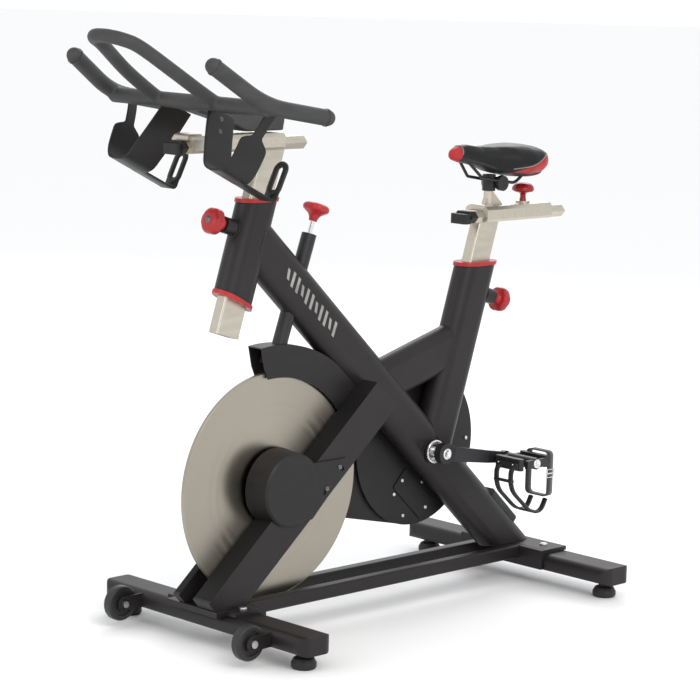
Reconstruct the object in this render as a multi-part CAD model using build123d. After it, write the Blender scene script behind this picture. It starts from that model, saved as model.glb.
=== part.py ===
from build123d import *
import os
from math import asin, atan2, cos, hypot, radians, sin, tan

# Indoor spin bike, millimetres. +X is forward, +Y is the rider's left, +Z is up.
# The origin is on the floor, under the middle of the bike's overall box.

# ---------------------------------------------------------------- driving sizes
HALF_LENGTH = 674.0          # seat rail tip to handlebar loop, halved
STAB_LENGTH = 624.0          # each stabiliser, across the bike
STAB_DEEP = 87.0
STAB_BOTTOM = 33.0
STAB_TOP = 73.0
FRONT_STAB_X = 348.0
REAR_STAB_X = -577.0
PLATE_TOP = 82.0             # top of both stabiliser plates

TUBE_HALF_WIDE = 30.0        # the oval frame tubes are 60 wide
TUBE_DEEP = 101.0
TUBE_WALL = 2.5
MAIN_SLOPE = 43.0            # main tube, degrees up from the floor
MAIN_Z0 = 579.0              # height of its axis over the origin
POST_LEAN = 17.0             # head tube and seat tube, degrees back from upright
HEAD_TOP = (254.0, 905.0)
HEAD_BOTTOM = (314.0, 710.0)
HEAD_MOUTH_SLOPE = 28.0      # the head tube's lower cut rises this much towards the front
SEAT_TUBE_TOP = (-406.75, 731.0)

POST_DEEP = 62.0
POST_WIDE = 30.0
POST_WALL = 2.5
RAIL_BOTTOM_SEAT = 826.0
RAIL_BOTTOM_BAR = 1010.0
RAIL_HIGH = 26.0
RAIL_TOP_WIDE = 36.0
RAIL_MID_WIDE = 58.0

AXLE = (206.0, 309.0)        # flywheel axle, X and Z
FLY_R = 241.0
FLY_Y = (3.0, 13.0)          # the disc's far and near faces
LEG_IN = 22.0
LEG_OUT = 72.0
RIGHT_LEG_OUT = 40.0
BB = (-258.0, 330.0)         # bottom bracket axle, X and Z
BELT_Y = -52.5
BELT_WIDE = 12.0
BIG_PULLEY_R = 140.0
SMALL_PULLEY_R = 38.0
CRANK_LENGTH = 170.0
CRANK_ANGLE = 8.0            # the left arm points back and this far down
LEFT_BOSS_Y = 76.0
RIGHT_BOSS_Y = -81.5
CRANK_FLARE = 23.0

GUARD = (-270.0, 334.0)
GUARD_R = 182.0
GUARD_NOSE_R = 56.0
GUARD_IN = -42.0
GUARD_OUT = -62.5
GUARD_DRUM_IN = -34.0
GUARD_WALL = 2.5

FOOT_Y = 272.0
WHEEL = (434.0, 51.0)
WHEEL_Y = 200.0
WHEEL_R = 37.0

RUNNING_FIT = 0.05           # radial clearance where one piece turns or slides in another
GAP = 0.5                    # free gap between neighbours that never touch


# ---------------------------------------------------------------- small helpers
def save(part, node):
    """Write one node's STEP file."""
    os.makedirs("parts", exist_ok=True)
    export_step(part, f"parts/{node}.step")


def side_plate(points, y0, y1):
    """An outline of (x, z) points, filled between two Y values."""
    outline = Polyline(*[(x, y0, z) for x, z in points], close=True)
    return extrude(make_face(outline), amount=y1 - y0, dir=(0, 1, 0))


def y_rod(radius, centre, y0, y1):
    """A cylinder along Y at the (x, z) centre."""
    x, z = centre
    return Pos(x, (y0 + y1) / 2, z) * Rot(90, 0, 0) * Cylinder(radius, abs(y1 - y0))


def z_rod(radius, x, y, z0, z1):
    """An upright cylinder."""
    return Pos(x, y, (z0 + z1) / 2) * Cylinder(radius, abs(z1 - z0))


def box_between(x0, x1, y0, y1, z0, z1):
    """A box from its six limits."""
    return Pos((x0 + x1) / 2, (y0 + y1) / 2, (z0 + z1) / 2) * Box(x1 - x0, y1 - y0, z1 - z0)


def along(start, end):
    """A plane at start (x, y, z) that looks along the line to end, local x across it in XZ."""
    a = Vector(*start)
    d = (Vector(*end) - a).normalized()
    side = Vector(0, 1, 0)
    return Plane(origin=a, x_dir=side.cross(d), z_dir=d)


def xz(point, y=0.0):
    """A 3-D point from an (x, z) pair."""
    return (point[0], y, point[1])


def oval_bar(start, end, deep, wide):
    """A solid flat-oval bar between two (x, z) points."""
    length = hypot(end[0] - start[0], end[1] - start[1])
    plane = along(xz(start), xz(end))
    return extrude(plane * SlotOverall(deep, wide), amount=length)


def rounded_bar(start, end, deep, wide, corner):
    """A solid bar of rounded rectangular section between two (x, z) points."""
    length = hypot(end[0] - start[0], end[1] - start[1])
    plane = along(xz(start), xz(end))
    return extrude(plane * RectangleRounded(deep, wide, corner), amount=length)


def rod(start, end, radius):
    """A cylinder between two 3-D points."""
    length = (Vector(*end) - Vector(*start)).length
    direction = (Vector(*end) - Vector(*start)).normalized()
    return extrude(Plane(origin=start, z_dir=direction) * Circle(radius), amount=length)


def bent_bar(points, radii, bar_radius):
    """A round bar along straight runs joined by arcs."""
    path = FilletPolyline(*points, radius=radii)
    start = path @ 0
    section = Plane(origin=start, z_dir=path % 0) * Circle(bar_radius)
    return sweep(section, path=path)


def mirror_y(part):
    return mirror(part, about=Plane.XZ)


def post_point(top, drop):
    """A point on a post axis, a given height under its (x, z) top."""
    return (top[0] + drop * tan(radians(POST_LEAN)), top[1] - drop)


def above(point, slope, side=1):
    """The half-space over a line through (x, z) that rises forward by slope degrees."""
    reach = 900
    block = Pos(0, 0, side * reach / 2) * Box(2 * reach, 300, reach)
    return Pos(*xz(point)) * Rot(0, -slope, 0) * block


def below(point, slope):
    """The half-space under the same kind of line."""
    return above(point, slope, -1)


def main_z(x):
    """Height of the main tube's axis."""
    return MAIN_Z0 + x * tan(radians(MAIN_SLOPE))


LEAN = radians(POST_LEAN)
POST_UP = Vector(-sin(LEAN), 0, cos(LEAN))
POST_FRONT = Vector(cos(LEAN), 0, sin(LEAN))


# ---------------------------------------------------------------- frame tubes
HEAD_DEEP = 90.0
HEAD_AXIS = (post_point(HEAD_TOP, 260), post_point(HEAD_TOP, -60))
HEAD_FULL = oval_bar(*HEAD_AXIS, HEAD_DEEP, 2 * TUBE_HALF_WIDE)
HEAD_FULL -= above(HEAD_TOP, 0)
HEAD_FULL -= below(HEAD_BOTTOM, HEAD_MOUTH_SLOPE)
HEAD_BORE = oval_bar(*HEAD_AXIS, HEAD_DEEP - 2 * TUBE_WALL, 2 * TUBE_HALF_WIDE - 2 * TUBE_WALL)

SEAT_FOOT = post_point(SEAT_TUBE_TOP, 400)
SEAT_FULL = oval_bar(SEAT_FOOT, post_point(SEAT_TUBE_TOP, -60), TUBE_DEEP, 2 * TUBE_HALF_WIDE)
SEAT_FULL -= above(SEAT_TUBE_TOP, 0)
SEAT_BORE = oval_bar(SEAT_FOOT, post_point(SEAT_TUBE_TOP, -80),
                     TUBE_DEEP - 2 * TUBE_WALL, 2 * TUBE_HALF_WIDE - 2 * TUBE_WALL)

MAIN_FRONT = (270.0, main_z(270.0))
MAIN_REAR = (-640.0, main_z(-640.0))
MAIN_FULL = oval_bar(MAIN_REAR, MAIN_FRONT, TUBE_DEEP, 2 * TUBE_HALF_WIDE)
MAIN_FULL -= box_between(-900, 900, -60, 60, -200, PLATE_TOP)
MAIN_BORE = oval_bar(MAIN_REAR, MAIN_FRONT, TUBE_DEEP - 2 * TUBE_WALL,
                     2 * TUBE_HALF_WIDE - 2 * TUBE_WALL)

BB_SHELL_R = 27.0
BB_SHELL_HALF = 38.0
BB_BORE_R = 21.0
BRAKE_R = 16.0
BRAKE_TOP = (103.0, 829.0)
BRAKE_FOOT = (182.0, 600.0)
BRAKE_BAR = rod(xz(BRAKE_FOOT), xz(BRAKE_TOP), BRAKE_R)
BRAKE_UP = (Vector(*xz(BRAKE_TOP)) - Vector(*xz(BRAKE_FOOT))).normalized()

PIN_BOSS_R = 17.0
PIN_BOSS_LONG = 29.0         # from the tube's face to the boss's outer end
HEAD_PIN_AT = Vector(*xz(post_point(HEAD_TOP, 64)))
SEAT_PIN_AT = Vector(*xz(post_point(SEAT_TUBE_TOP, 54)))
PIN_HOLE_R = 5.0


def pin_boss(centre, forward, half_deep):
    """The welded boss that guides a pop pin, and its through hole."""
    outer_end = centre + forward * (half_deep + PIN_BOSS_LONG)
    boss = rod(tuple(centre + forward * (half_deep - 12)), tuple(outer_end), PIN_BOSS_R)
    hole = rod(tuple(centre + forward * 20), tuple(outer_end + forward * 5), PIN_HOLE_R)
    return boss, hole


def head_tube():
    boss, hole = pin_boss(HEAD_PIN_AT, POST_FRONT, HEAD_DEEP / 2)
    return HEAD_FULL + boss - HEAD_BORE - hole


def seat_tube():
    boss, hole = pin_boss(SEAT_PIN_AT, -POST_FRONT, TUBE_DEEP / 2)
    return SEAT_FULL + boss - SEAT_BORE - hole - MAIN_FULL - y_rod(BB_SHELL_R, BB, -60, 60)


def main_tube():
    shell = y_rod(BB_SHELL_R, BB, -BB_SHELL_HALF, BB_SHELL_HALF)
    tube = MAIN_FULL - MAIN_BORE + shell
    return tube - y_rod(BB_BORE_R, BB, -60, 60) - HEAD_FULL - BRAKE_BAR


def top_brace():
    start = (-330.0, 554.0)
    end = (-90.0, 486.0)
    bar = oval_bar(start, end, 100, 50) - oval_bar(start, end, 95, 45)
    return bar - SEAT_FULL - MAIN_FULL


def rail(sign):
    """One lower side rail, between the fork leg and the rear plate."""
    inner = TUBE_HALF_WIDE
    outer = 55.0
    bar = box_between(REAR_STAB_X + STAB_DEEP / 2 + 6, FRONT_STAB_X - 50, inner, outer, 53, PLATE_TOP)
    bar = fillet(bar.edges().filter_by(Axis.X), 4)
    bore = box_between(-700, 500, inner + 2, outer - 2, 55, PLATE_TOP - 2)
    part = bar - bore - fork_leg_block(LEG_OUT)
    return part if sign > 0 else mirror_y(part)


# Fork leg outline, as (x, z): lower front, upper front, upper rear, lower rear.
LEG_OUTLINE = [(408, PLATE_TOP), (426, 102), (-40, 511), (-100, 453), (281, 123), (326, PLATE_TOP)]
PLATE_HUB_R = 44.0
HUB_BORE_R = 21.0


def fork_leg_block(outer):
    return side_plate(LEG_OUTLINE, LEG_IN, outer)


def fork_leg(outer):
    """One fork leg with its bearing plate, as on the left side."""
    leg = fork_leg_block(outer) - MAIN_FULL
    inset = 2.5
    hollow = [(400, PLATE_TOP + inset), (418, 103), (-36, 503), (-88, 452), (284, 130),
              (330, PLATE_TOP + inset)]
    leg -= side_plate(hollow, LEG_IN + inset, outer - inset) - oval_bar(
        MAIN_REAR, MAIN_FRONT, TUBE_DEEP + 2 * inset, 2 * TUBE_HALF_WIDE + 2 * inset)
    hub_deep = 14.0
    plate = y_rod(PLATE_HUB_R, AXLE, LEG_IN, LEG_IN + hub_deep)
    gusset = side_plate([(206, 353), (150, 350), (150, 285), (206, 265)], LEG_IN, LEG_IN + hub_deep)
    leg = leg + plate + gusset
    return leg - y_rod(HUB_BORE_R, AXLE, 0, LEG_IN + hub_deep) - y_rod(14, AXLE, 0, LEG_IN + 26)


# ---------------------------------------------------------------- base
def stabiliser(x):
    """One stabiliser tube with its rounded, closed ends."""
    high = STAB_TOP - STAB_BOTTOM
    middle = (STAB_TOP + STAB_BOTTOM) / 2
    section = Plane.XZ * RectangleRounded(STAB_DEEP, high, high / 2 - 1)
    bar = Pos(x, STAB_LENGTH / 2, middle) * extrude(section, amount=STAB_LENGTH)
    plan = extrude(RectangleRounded(STAB_DEEP, STAB_LENGTH, 24), amount=200)
    bar = bar & (Pos(x, 0, -50) * plan)
    wall = 2.5
    inner = Plane.XZ * RectangleRounded(STAB_DEEP - 2 * wall, high - 2 * wall, high / 2 - 1 - wall)
    length = STAB_LENGTH - 60
    bar -= Pos(x, length / 2, middle) * extrude(inner, amount=length)
    for side in (-1, 1):
        bar -= z_rod(STEM_R + RUNNING_FIT, x, side * FOOT_Y, STAB_BOTTOM - 5, middle)
    for side in (-1, 1):
        bar -= z_rod(5, x, side * PLATE_BOLT_Y, middle, 120)
    return bar


STEM_R = 6.0
FOOT_R = 26.0


def levelling_foot(x, y):
    """A rubber-faced foot on its threaded stem."""
    points = [(0, 0), (FOOT_R - 3, 0), (FOOT_R, 4), (FOOT_R, 12), (FOOT_R - 5, 21), (13, 25),
              (13, STAB_BOTTOM - 2), (STEM_R, STAB_BOTTOM - 2), (STEM_R, STAB_BOTTOM + 20),
              (0, STAB_BOTTOM + 20)]
    profile = make_face(Polyline(*[(r, 0, z) for r, z in points], close=True))
    return Pos(x, y, 0) * revolve(profile, axis=Axis.Z)


EAR_THICK = 4.0
EAR_GAP = 13.0


def wheel_ears(side):
    """The two bracket plates that hold one transport wheel."""
    ears = None
    x_in = FRONT_STAB_X + STAB_DEEP / 2 - 14
    for offset in (-EAR_GAP - EAR_THICK, EAR_GAP):
        y0 = side * WHEEL_Y + offset
        tongue = y_rod(17, WHEEL, y0, y0 + EAR_THICK)
        web = side_plate([(x_in, 68), (WHEEL[0] + 2, 67), (WHEEL[0] + 2, 36), (x_in, 38)],
                         y0, y0 + EAR_THICK)
        ear = tongue + web - y_rod(4, WHEEL, y0 - 1, y0 + EAR_THICK + 1)
        ears = ear if ears is None else ears + ear
    return ears


def front_stabiliser():
    bar = stabiliser(FRONT_STAB_X)
    solid = box_between(FRONT_STAB_X - 30, FRONT_STAB_X + 26, -300, 300, 30, 76)
    for side in (-1, 1):
        bar += wheel_ears(side) - solid
    return bar


def transport_wheel(side):
    """A wheel with a rounded tread, turning on its bolt."""
    half = 11.0
    y = side * WHEEL_Y
    body = y_rod(WHEEL_R, WHEEL, y - half, y + half)
    body = fillet(body.edges().filter_by(GeomType.CIRCLE), 5)
    for end in (-1, 1):
        ring = y_rod(26, WHEEL, y + end * (half - 3), y + end * (half + 3))
        body -= ring - y_rod(11, WHEEL, y - 20, y + 20)
    return body - y_rod(4 + RUNNING_FIT, WHEEL, y - 20, y + 20)


PLATE_BOLT_Y = 88.0


def frame_bolts():
    """The four stabiliser bolts and the two wheel bolts."""
    bolts = []
    for x in (FRONT_STAB_X, REAR_STAB_X):
        for side in (-1, 1):
            y = side * PLATE_BOLT_Y
            head = z_rod(9, x, y, PLATE_TOP, PLATE_TOP + 5)
            head = chamfer(head.faces().sort_by(Axis.Z)[-1].edges(), 2)
            nut = z_rod(9, x, y, STAB_TOP - 10.5, STAB_TOP - 2.5)
            bolts.append(head + nut + z_rod(5, x, y, STAB_BOTTOM + 20, PLATE_TOP + 1))
    for side in (-1, 1):
        y = side * WHEEL_Y
        outside = side * (EAR_GAP + EAR_THICK)
        shank = y_rod(4, WHEEL, y - 20, y + 20)
        head = y_rod(8, WHEEL, y + outside, y + outside + side * 5)
        nut = y_rod(7, WHEEL, y - outside, y - outside - side * 5)
        bolts.append(shank + head + nut)
    return Compound(bolts)


def bolt_holes(part, x):
    for side in (-1, 1):
        part -= z_rod(5, x, side * PLATE_BOLT_Y, -10, 120)
    return part


def saddle_plate(x, half_wide, lip):
    """A plate bent over a stabiliser, with a lip down the side that faces the frame."""
    side = 1 if lip > 0 else -1
    outer = box_between(x - STAB_DEEP / 2 + 8, x + STAB_DEEP / 2 - 8, -half_wide, half_wide,
                        STAB_TOP, PLATE_TOP)
    edge = x + side * STAB_DEEP / 2
    front = box_between(min(edge - side * 10, edge + side * 6), max(edge - side * 10, edge + side * 6),
                        -half_wide, half_wide, STAB_BOTTOM + 5, PLATE_TOP)
    front = fillet(front.edges().filter_by(Axis.Y).group_by(Axis.Z)[-1], 5)
    return outer + front


def rear_plate():
    part = saddle_plate(REAR_STAB_X, 125, 1) - stabiliser_core(REAR_STAB_X)
    return bolt_holes(part, REAR_STAB_X)


def front_plate():
    part = saddle_plate(FRONT_STAB_X, 105, -1) - stabiliser_core(FRONT_STAB_X)
    part += box_between(FRONT_STAB_X + STAB_DEEP / 2 - 12, 410, -78, 78, STAB_TOP - 3, PLATE_TOP)
    part -= stabiliser_core(FRONT_STAB_X)
    return bolt_holes(part, FRONT_STAB_X)


def stabiliser_core(x):
    """The stabiliser's outer shape, to cut its neighbours."""
    high = STAB_TOP - STAB_BOTTOM
    section = Plane.XZ * RectangleRounded(STAB_DEEP, high, high / 2 - 1)
    return Pos(x, STAB_LENGTH / 2, (STAB_TOP + STAB_BOTTOM) / 2) * extrude(section, amount=STAB_LENGTH)


def step_pad():
    """The rubber pad on the rear slope of the main tube."""
    slope = radians(MAIN_SLOPE)
    rise = 22.0
    start = (-441.0 - rise * sin(slope), main_z(-441.0) + rise * cos(slope))
    end = (-518.0 - rise * sin(slope), main_z(-518.0) + rise * cos(slope))
    pad = rounded_bar(end, start, 80, 40, 10)
    core = oval_bar(MAIN_REAR, MAIN_FRONT, TUBE_DEEP, 2 * TUBE_HALF_WIDE)
    return pad - core


# ---------------------------------------------------------------- flywheel and drive
def flywheel():
    """A heavy flat disc with a hub."""
    far, near = FLY_Y
    points = [(AXLE_R, -20), (30, -20), (30, -4), (44, far), (FLY_R - 1.5, far), (FLY_R, far + 1.5),
              (FLY_R, near - 1.5), (FLY_R - 1.5, near), (30, near), (30, 20), (AXLE_R, 20)]
    profile = make_face(Polyline(*[(r, y, 0) for r, y in points], close=True))
    disc = revolve(profile, axis=Axis.Y)
    return Pos(AXLE[0], 0, AXLE[1]) * disc


AXLE_R = 10.0
BEARING_R = 21.0


def flywheel_axle():
    shaft = y_rod(AXLE_R, AXLE, BELT_Y - BELT_WIDE / 2 - 1, LEG_IN + 22)
    return chamfer(shaft.edges().filter_by(GeomType.CIRCLE), 1)


def ring(outer, inner, centre, y0, y1):
    return y_rod(outer, centre, y0, y1) - y_rod(inner, centre, min(y0, y1) - 1, max(y0, y1) + 1)


def bearings():
    """Two flywheel bearings in the fork legs and two bottom bracket bearings."""
    seats = [(AXLE, LEG_IN, LEG_IN + 14), (AXLE, -LEG_IN - 14, -LEG_IN),
             (BB, 20, BB_SHELL_HALF), (BB, -BB_SHELL_HALF, -20)]
    return Compound([ring(BEARING_R, AXLE_R + RUNNING_FIT, c, y0, y1) for c, y0, y1 in seats])


def flywheel_pulley():
    y0 = BELT_Y - BELT_WIDE / 2
    y1 = BELT_Y + BELT_WIDE / 2
    return ring(SMALL_PULLEY_R, AXLE_R, AXLE, y0, y1)


def crank_pulley():
    y0 = BELT_Y - BELT_WIDE / 2
    y1 = BELT_Y + BELT_WIDE / 2
    wheel = ring(BIG_PULLEY_R, AXLE_R, BB, y0, y1)
    groove = ring(BIG_PULLEY_R - 12, 24, BB, y0 - 1, y0 + 4) + ring(BIG_PULLEY_R - 12, 24, BB, y1 - 4, y1 + 1)
    wheel -= groove
    spokes = 5
    for k in range(spokes):
        turn = radians(360 / spokes * k + 10)
        hole = (BB[0] + 78 * cos(turn), BB[1] + 78 * sin(turn))
        wheel -= y_rod(26, hole, y0 - 5, y1 + 5)
    return wheel


def belt_outline(big, small, y0, y1):
    """The solid inside a belt loop: two circles and their tangent band."""
    dx = AXLE[0] - BB[0]
    dz = AXLE[1] - BB[1]
    tilt = atan2(dz, dx)
    spread = asin((big - small) / hypot(dx, dz))
    points = []
    for sign, centre, radius in ((1, BB, big), (1, AXLE, small), (-1, AXLE, small), (-1, BB, big)):
        turn = tilt + sign * (radians(90) - spread)
        points.append((centre[0] + radius * cos(turn), centre[1] + radius * sin(turn)))
    return side_plate(points, y0, y1) + y_rod(big, BB, y0, y1) + y_rod(small, AXLE, y0, y1)


def drive_belt():
    half = BELT_WIDE / 2 - 1
    clearance = RUNNING_FIT
    thick = 4.0
    outer = belt_outline(BIG_PULLEY_R + thick, SMALL_PULLEY_R + thick, BELT_Y - half, BELT_Y + half)
    inner = belt_outline(BIG_PULLEY_R + clearance, SMALL_PULLEY_R + clearance,
                         BELT_Y - half - 1, BELT_Y + half + 1)
    return outer - inner


def crank_axle():
    shaft = y_rod(AXLE_R, BB, RIGHT_BOSS_Y + 4, LEFT_BOSS_Y - 4)
    return chamfer(shaft.edges().filter_by(GeomType.CIRCLE), 1)


def pedal_centre(side):
    """The pedal axle's (x, z): the left arm points back, the right arm forward."""
    turn = radians(CRANK_ANGLE)
    return (BB[0] - side * CRANK_LENGTH * cos(turn), BB[1] - side * CRANK_LENGTH * sin(turn))


CRANK_THICK = 16.0


def crank(side):
    """A forged crank arm that flares outwards to its pedal end."""
    boss_y = LEFT_BOSS_Y if side > 0 else -RIGHT_BOSS_Y
    hub = y_rod(23, (0, 0), boss_y - CRANK_THICK - 2, boss_y)
    eye_y = boss_y + CRANK_FLARE
    eye = y_rod(15, (-CRANK_LENGTH, 0), eye_y - 13, eye_y)
    arm = side_plate([(0, 17), (-CRANK_LENGTH, 12), (-CRANK_LENGTH, -12), (0, -17)], 0, 200)
    plan = Polyline((0, boss_y - CRANK_THICK, -60), (-36, boss_y - CRANK_THICK, -60),
                    (-120, eye_y - 13, -60), (-CRANK_LENGTH, eye_y - 13, -60),
                    (-CRANK_LENGTH, eye_y, -60), (-110, eye_y, -60), (-26, boss_y, -60),
                    (0, boss_y, -60), close=True)
    arm = arm & extrude(make_face(plan), amount=120, dir=(0, 0, 1))
    body = hub + eye + arm
    body -= y_rod(AXLE_R, (0, 0), 0, boss_y - 4)
    body -= y_rod(6, (-CRANK_LENGTH, 0), 0, 200)
    if side < 0:
        body = Rot(0, 180, 0) * mirror_y(body)
    return Pos(*xz(BB)) * Rot(0, -CRANK_ANGLE, 0) * body


PEDAL_LONG = 96.0
PEDAL_WIDE = 84.0
PEDAL_HIGH = 26.0
PEDAL_AXLE_R = 6.0


def eye_face(side):
    """Outer face of the crank's pedal end."""
    return (LEFT_BOSS_Y if side > 0 else -RIGHT_BOSS_Y) + CRANK_FLARE


def pedal_axles():
    """The two pedal spindles, each with the collar that seats on its crank."""
    spindles = []
    for side in (1, -1):
        centre = pedal_centre(side)
        face = eye_face(side)
        spindle = y_rod(PEDAL_AXLE_R, centre, side * (face - 13), side * (face + PEDAL_WIDE - 4))
        collar = y_rod(9, centre, side * face, side * (face + 6))
        spindles.append(spindle + collar)
    return Compound(spindles)


def pedal(side):
    """A cage pedal: centre barrel, end plates and toothed side bars."""
    cx, cz = pedal_centre(side)
    y0 = eye_face(side) + 7
    y1 = y0 + PEDAL_WIDE
    barrel = y_rod(13, (cx, cz), y0, y1)
    inner = box_between(cx - 34, cx + 34, y0, y0 + 9, cz - 9, cz + 9)
    outer = box_between(cx - 30, cx + 30, y1 - 9, y1, cz - 9, cz + 9)
    body = barrel + inner + outer
    for end in (-1, 1):
        bar = box_between(cx + end * 40 - 7, cx + end * 40 + 7, y0, y1 - 6, cz - PEDAL_HIGH / 2,
                          cz + PEDAL_HIGH / 2)
        bar = chamfer(bar.edges().filter_by(Axis.Z), 4)
        body += bar
        rib = box_between(cx + min(0, end * 40), cx + max(0, end * 40), y0 + 38, y0 + 46, cz - 7, cz + 7)
        body += rib
    body -= y_rod(PEDAL_AXLE_R + RUNNING_FIT, (cx, cz), y0 - 1, y1 - 10)
    return body if side > 0 else mirror_y(body)


def toe_clip(side):
    """The toe clip, hanging under the flipped pedal, and its strap."""
    cx, cz = pedal_centre(side)
    y0 = eye_face(side) + 7
    front = cx + 47
    path = [(front + 3, cz - 6), (front + 16, cz - 12), (front + 8, cz - 60), (cx - 8, cz - 114),
            (cx - 44, cz - 118), (cx - 58, cz - 90)]
    outline = Polyline(*[(x, 0, z) for x, z in path])
    ribbon = trace(Plane.XZ.to_local_coords(outline), line_width=5)
    face = Plane.XZ * ribbon
    clip = None
    for y in (y0 + 20, y0 + 62):
        band = Pos(0, y + 6, 0) * extrude(face, amount=12)
        clip = band if clip is None else clip + band
    for x, z in ((front + 12, cz - 36), (cx - 26, cz - 116)):
        clip += box_between(x - 5, x + 5, y0 + 16, y0 + 66, z - 2.5, z + 2.5)
    clip += box_between(front, front + 5, y0 + 10, y0 + 72, cz - 11, cz + 5)
    strap = box_between(cx - 67, cx - 48, y0 + 8, y0 + 74, cz - 84, cz + 20)
    strap -= box_between(cx - 70, cx - 40, y0 + 11, y0 + 71, cz - 81, cz + 17)
    pieces = [clip, strap - clip]
    if side < 0:
        pieces = [mirror_y(piece) for piece in pieces]
    return Compound([piece.solid() for piece in pieces])


# ---------------------------------------------------------------- covers
HUB_COVER_R = (82.0, 77.0)   # at the back rim and at the face
HUB_COVER_IN = 22.0
HUB_COVER_OUT = 82.0


def cone_y(r0, r1, y0, y1):
    """A cone about the flywheel axle, r0 at y0 and r1 at y1."""
    profile = [(0, y0), (r0, y0), (r1, y1), (0, y1)]
    face = make_face(Polyline(*[(r, y, 0) for r, y in profile], close=True))
    return Pos(AXLE[0], 0, AXLE[1]) * revolve(face, axis=Axis.Y)


def hub_cover():
    """The left axle cover: a drum round the bearing and a tail over the fork leg."""
    wall = 2.5
    rim, face = HUB_COVER_R
    drum = cone_y(rim, face, HUB_COVER_IN, HUB_COVER_OUT)
    drum = chamfer(drum.edges().filter_by(GeomType.CIRCLE).group_by(Axis.Y)[-1], 4)
    tail = side_plate([(200, 370), (150, 359), (52, 359), (36, 347), (146, 240), (190, 236)],
                      LEG_OUT, HUB_COVER_OUT - 6)
    hollow = cone_y(rim - wall, face - wall, HUB_COVER_IN - 1, HUB_COVER_OUT - wall)
    cover = drum + tail - hollow
    cover -= side_plate(LEG_OUTLINE, LEG_IN - 10, LEG_OUT)
    for x, z in ((62, 337), (113, 292)):
        cover -= y_rod(5, (x, z), HUB_COVER_OUT - 9, HUB_COVER_OUT + 5)
    return cover


SHROUD_OUT_R = 297.0
SHROUD_IN_R = 250.0
SHROUD_HALF = 21.0


def sector(radius, start, end, y0, y1):
    """A pie slice about the flywheel axle, angles in degrees from +X up to +Z."""
    reach = radius / cos(radians((end - start) / 4))
    points = [AXLE]
    for k in range(3):
        turn = radians(start + (end - start) * k / 2)
        points.append((AXLE[0] + reach * cos(turn), AXLE[1] + reach * sin(turn)))
    return side_plate(points, y0, y1) & y_rod(radius, AXLE, y0, y1)


def brake_shroud():
    """The cover over the flywheel's top, which houses the brake pad."""
    wall = 2.5
    outer = sector(SHROUD_OUT_R, 80, 150, -SHROUD_HALF, SHROUD_HALF)
    outer -= y_rod(228, AXLE, -40, 40)
    inner = sector(SHROUD_OUT_R - wall, 70, 151, -SHROUD_HALF + wall, SHROUD_HALF - wall)
    shell = outer - inner
    shell -= side_plate([(258, 640), (330, 640), (330, 500), (222, 520), (240, 560)], -40, 40)
    keep_out = oval_bar(MAIN_REAR, MAIN_FRONT, TUBE_DEEP + 2 * GAP, 2 * TUBE_HALF_WIDE)
    shell -= keep_out
    foot = Vector(*xz(BRAKE_FOOT))
    return shell - rod(tuple(foot - BRAKE_UP * 20), xz(BRAKE_TOP), BRAKE_R)


def guard_outline(radius, nose, y0, y1):
    """Solid inside the guard: its round rear and its nose round the flywheel axle."""
    dx = AXLE[0] - GUARD[0]
    dz = AXLE[1] - GUARD[1]
    tilt = atan2(dz, dx)
    spread = asin((radius - nose) / hypot(dx, dz))
    points = []
    for sign, centre, r in ((1, GUARD, radius), (1, AXLE, nose), (-1, AXLE, nose), (-1, GUARD, radius)):
        turn = tilt + sign * (radians(90) - spread)
        points.append((centre[0] + r * cos(turn), centre[1] + r * sin(turn)))
    return side_plate(points, y0, y1) + y_rod(radius, GUARD, y0, y1) + y_rod(nose, AXLE, y0, y1)


GUARD_SPLIT = -54.0


def guard_inner():
    """The frame-side half of the belt guard, with the round drum behind the fork leg."""
    w = GUARD_WALL
    shell = guard_outline(GUARD_R, GUARD_NOSE_R, GUARD_SPLIT, GUARD_IN)
    shell += y_rod(GUARD_R, GUARD, GUARD_IN, GUARD_DRUM_IN)
    hollow = guard_outline(GUARD_R - w, GUARD_NOSE_R - w, GUARD_SPLIT - 1, GUARD_IN - w)
    hollow += y_rod(GUARD_R - w, GUARD, GUARD_IN - w - 1, GUARD_DRUM_IN - w)
    shell -= hollow
    shell -= y_rod(BB_SHELL_R + GAP, BB, -70, 0)
    shell -= y_rod(AXLE_R + 8, AXLE, -70, 0)
    x0, z0 = COVER_HOLE
    shell -= Pos(x0, -38, z0) * Rot(0, COVER_TILT, 0) * Box(108, 30, 44)
    for x, z in SCREW_SPOTS:
        shell -= y_rod(2.5, (x, z), -60, 0)
    return shell


def guard_outer():
    """The outer half of the belt guard."""
    w = GUARD_WALL
    shell = guard_outline(GUARD_R, GUARD_NOSE_R, GUARD_OUT, GUARD_SPLIT)
    shell -= guard_outline(GUARD_R - w, GUARD_NOSE_R - w, GUARD_OUT + w, GUARD_SPLIT + 1)
    return shell - y_rod(16, BB, -80, 0)


COVER_HOLE = (-266.0, 222.0)
COVER_TILT = -43.0
COVER_SCREWS = [(-228, 257), (-304, 187)]
GUARD_SCREWS = [(-206, 228), (-236, 176), (-295, 246), (-433, 330)]
SCREW_SPOTS = COVER_SCREWS + GUARD_SCREWS


def inspection_cover():
    """The small cover over the guard's adjusting window."""
    x0, z0 = COVER_HOLE
    face = GUARD_DRUM_IN
    plate = Pos(x0, face + 1.5, z0) * Rot(0, COVER_TILT, 0) * Box(122, 3, 56)
    plate = fillet(plate.edges().filter_by(Axis.Y), 6)
    for x, z in SCREW_SPOTS:
        plate -= y_rod(2.5, (x, z), -60, 0)
    return plate


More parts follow.
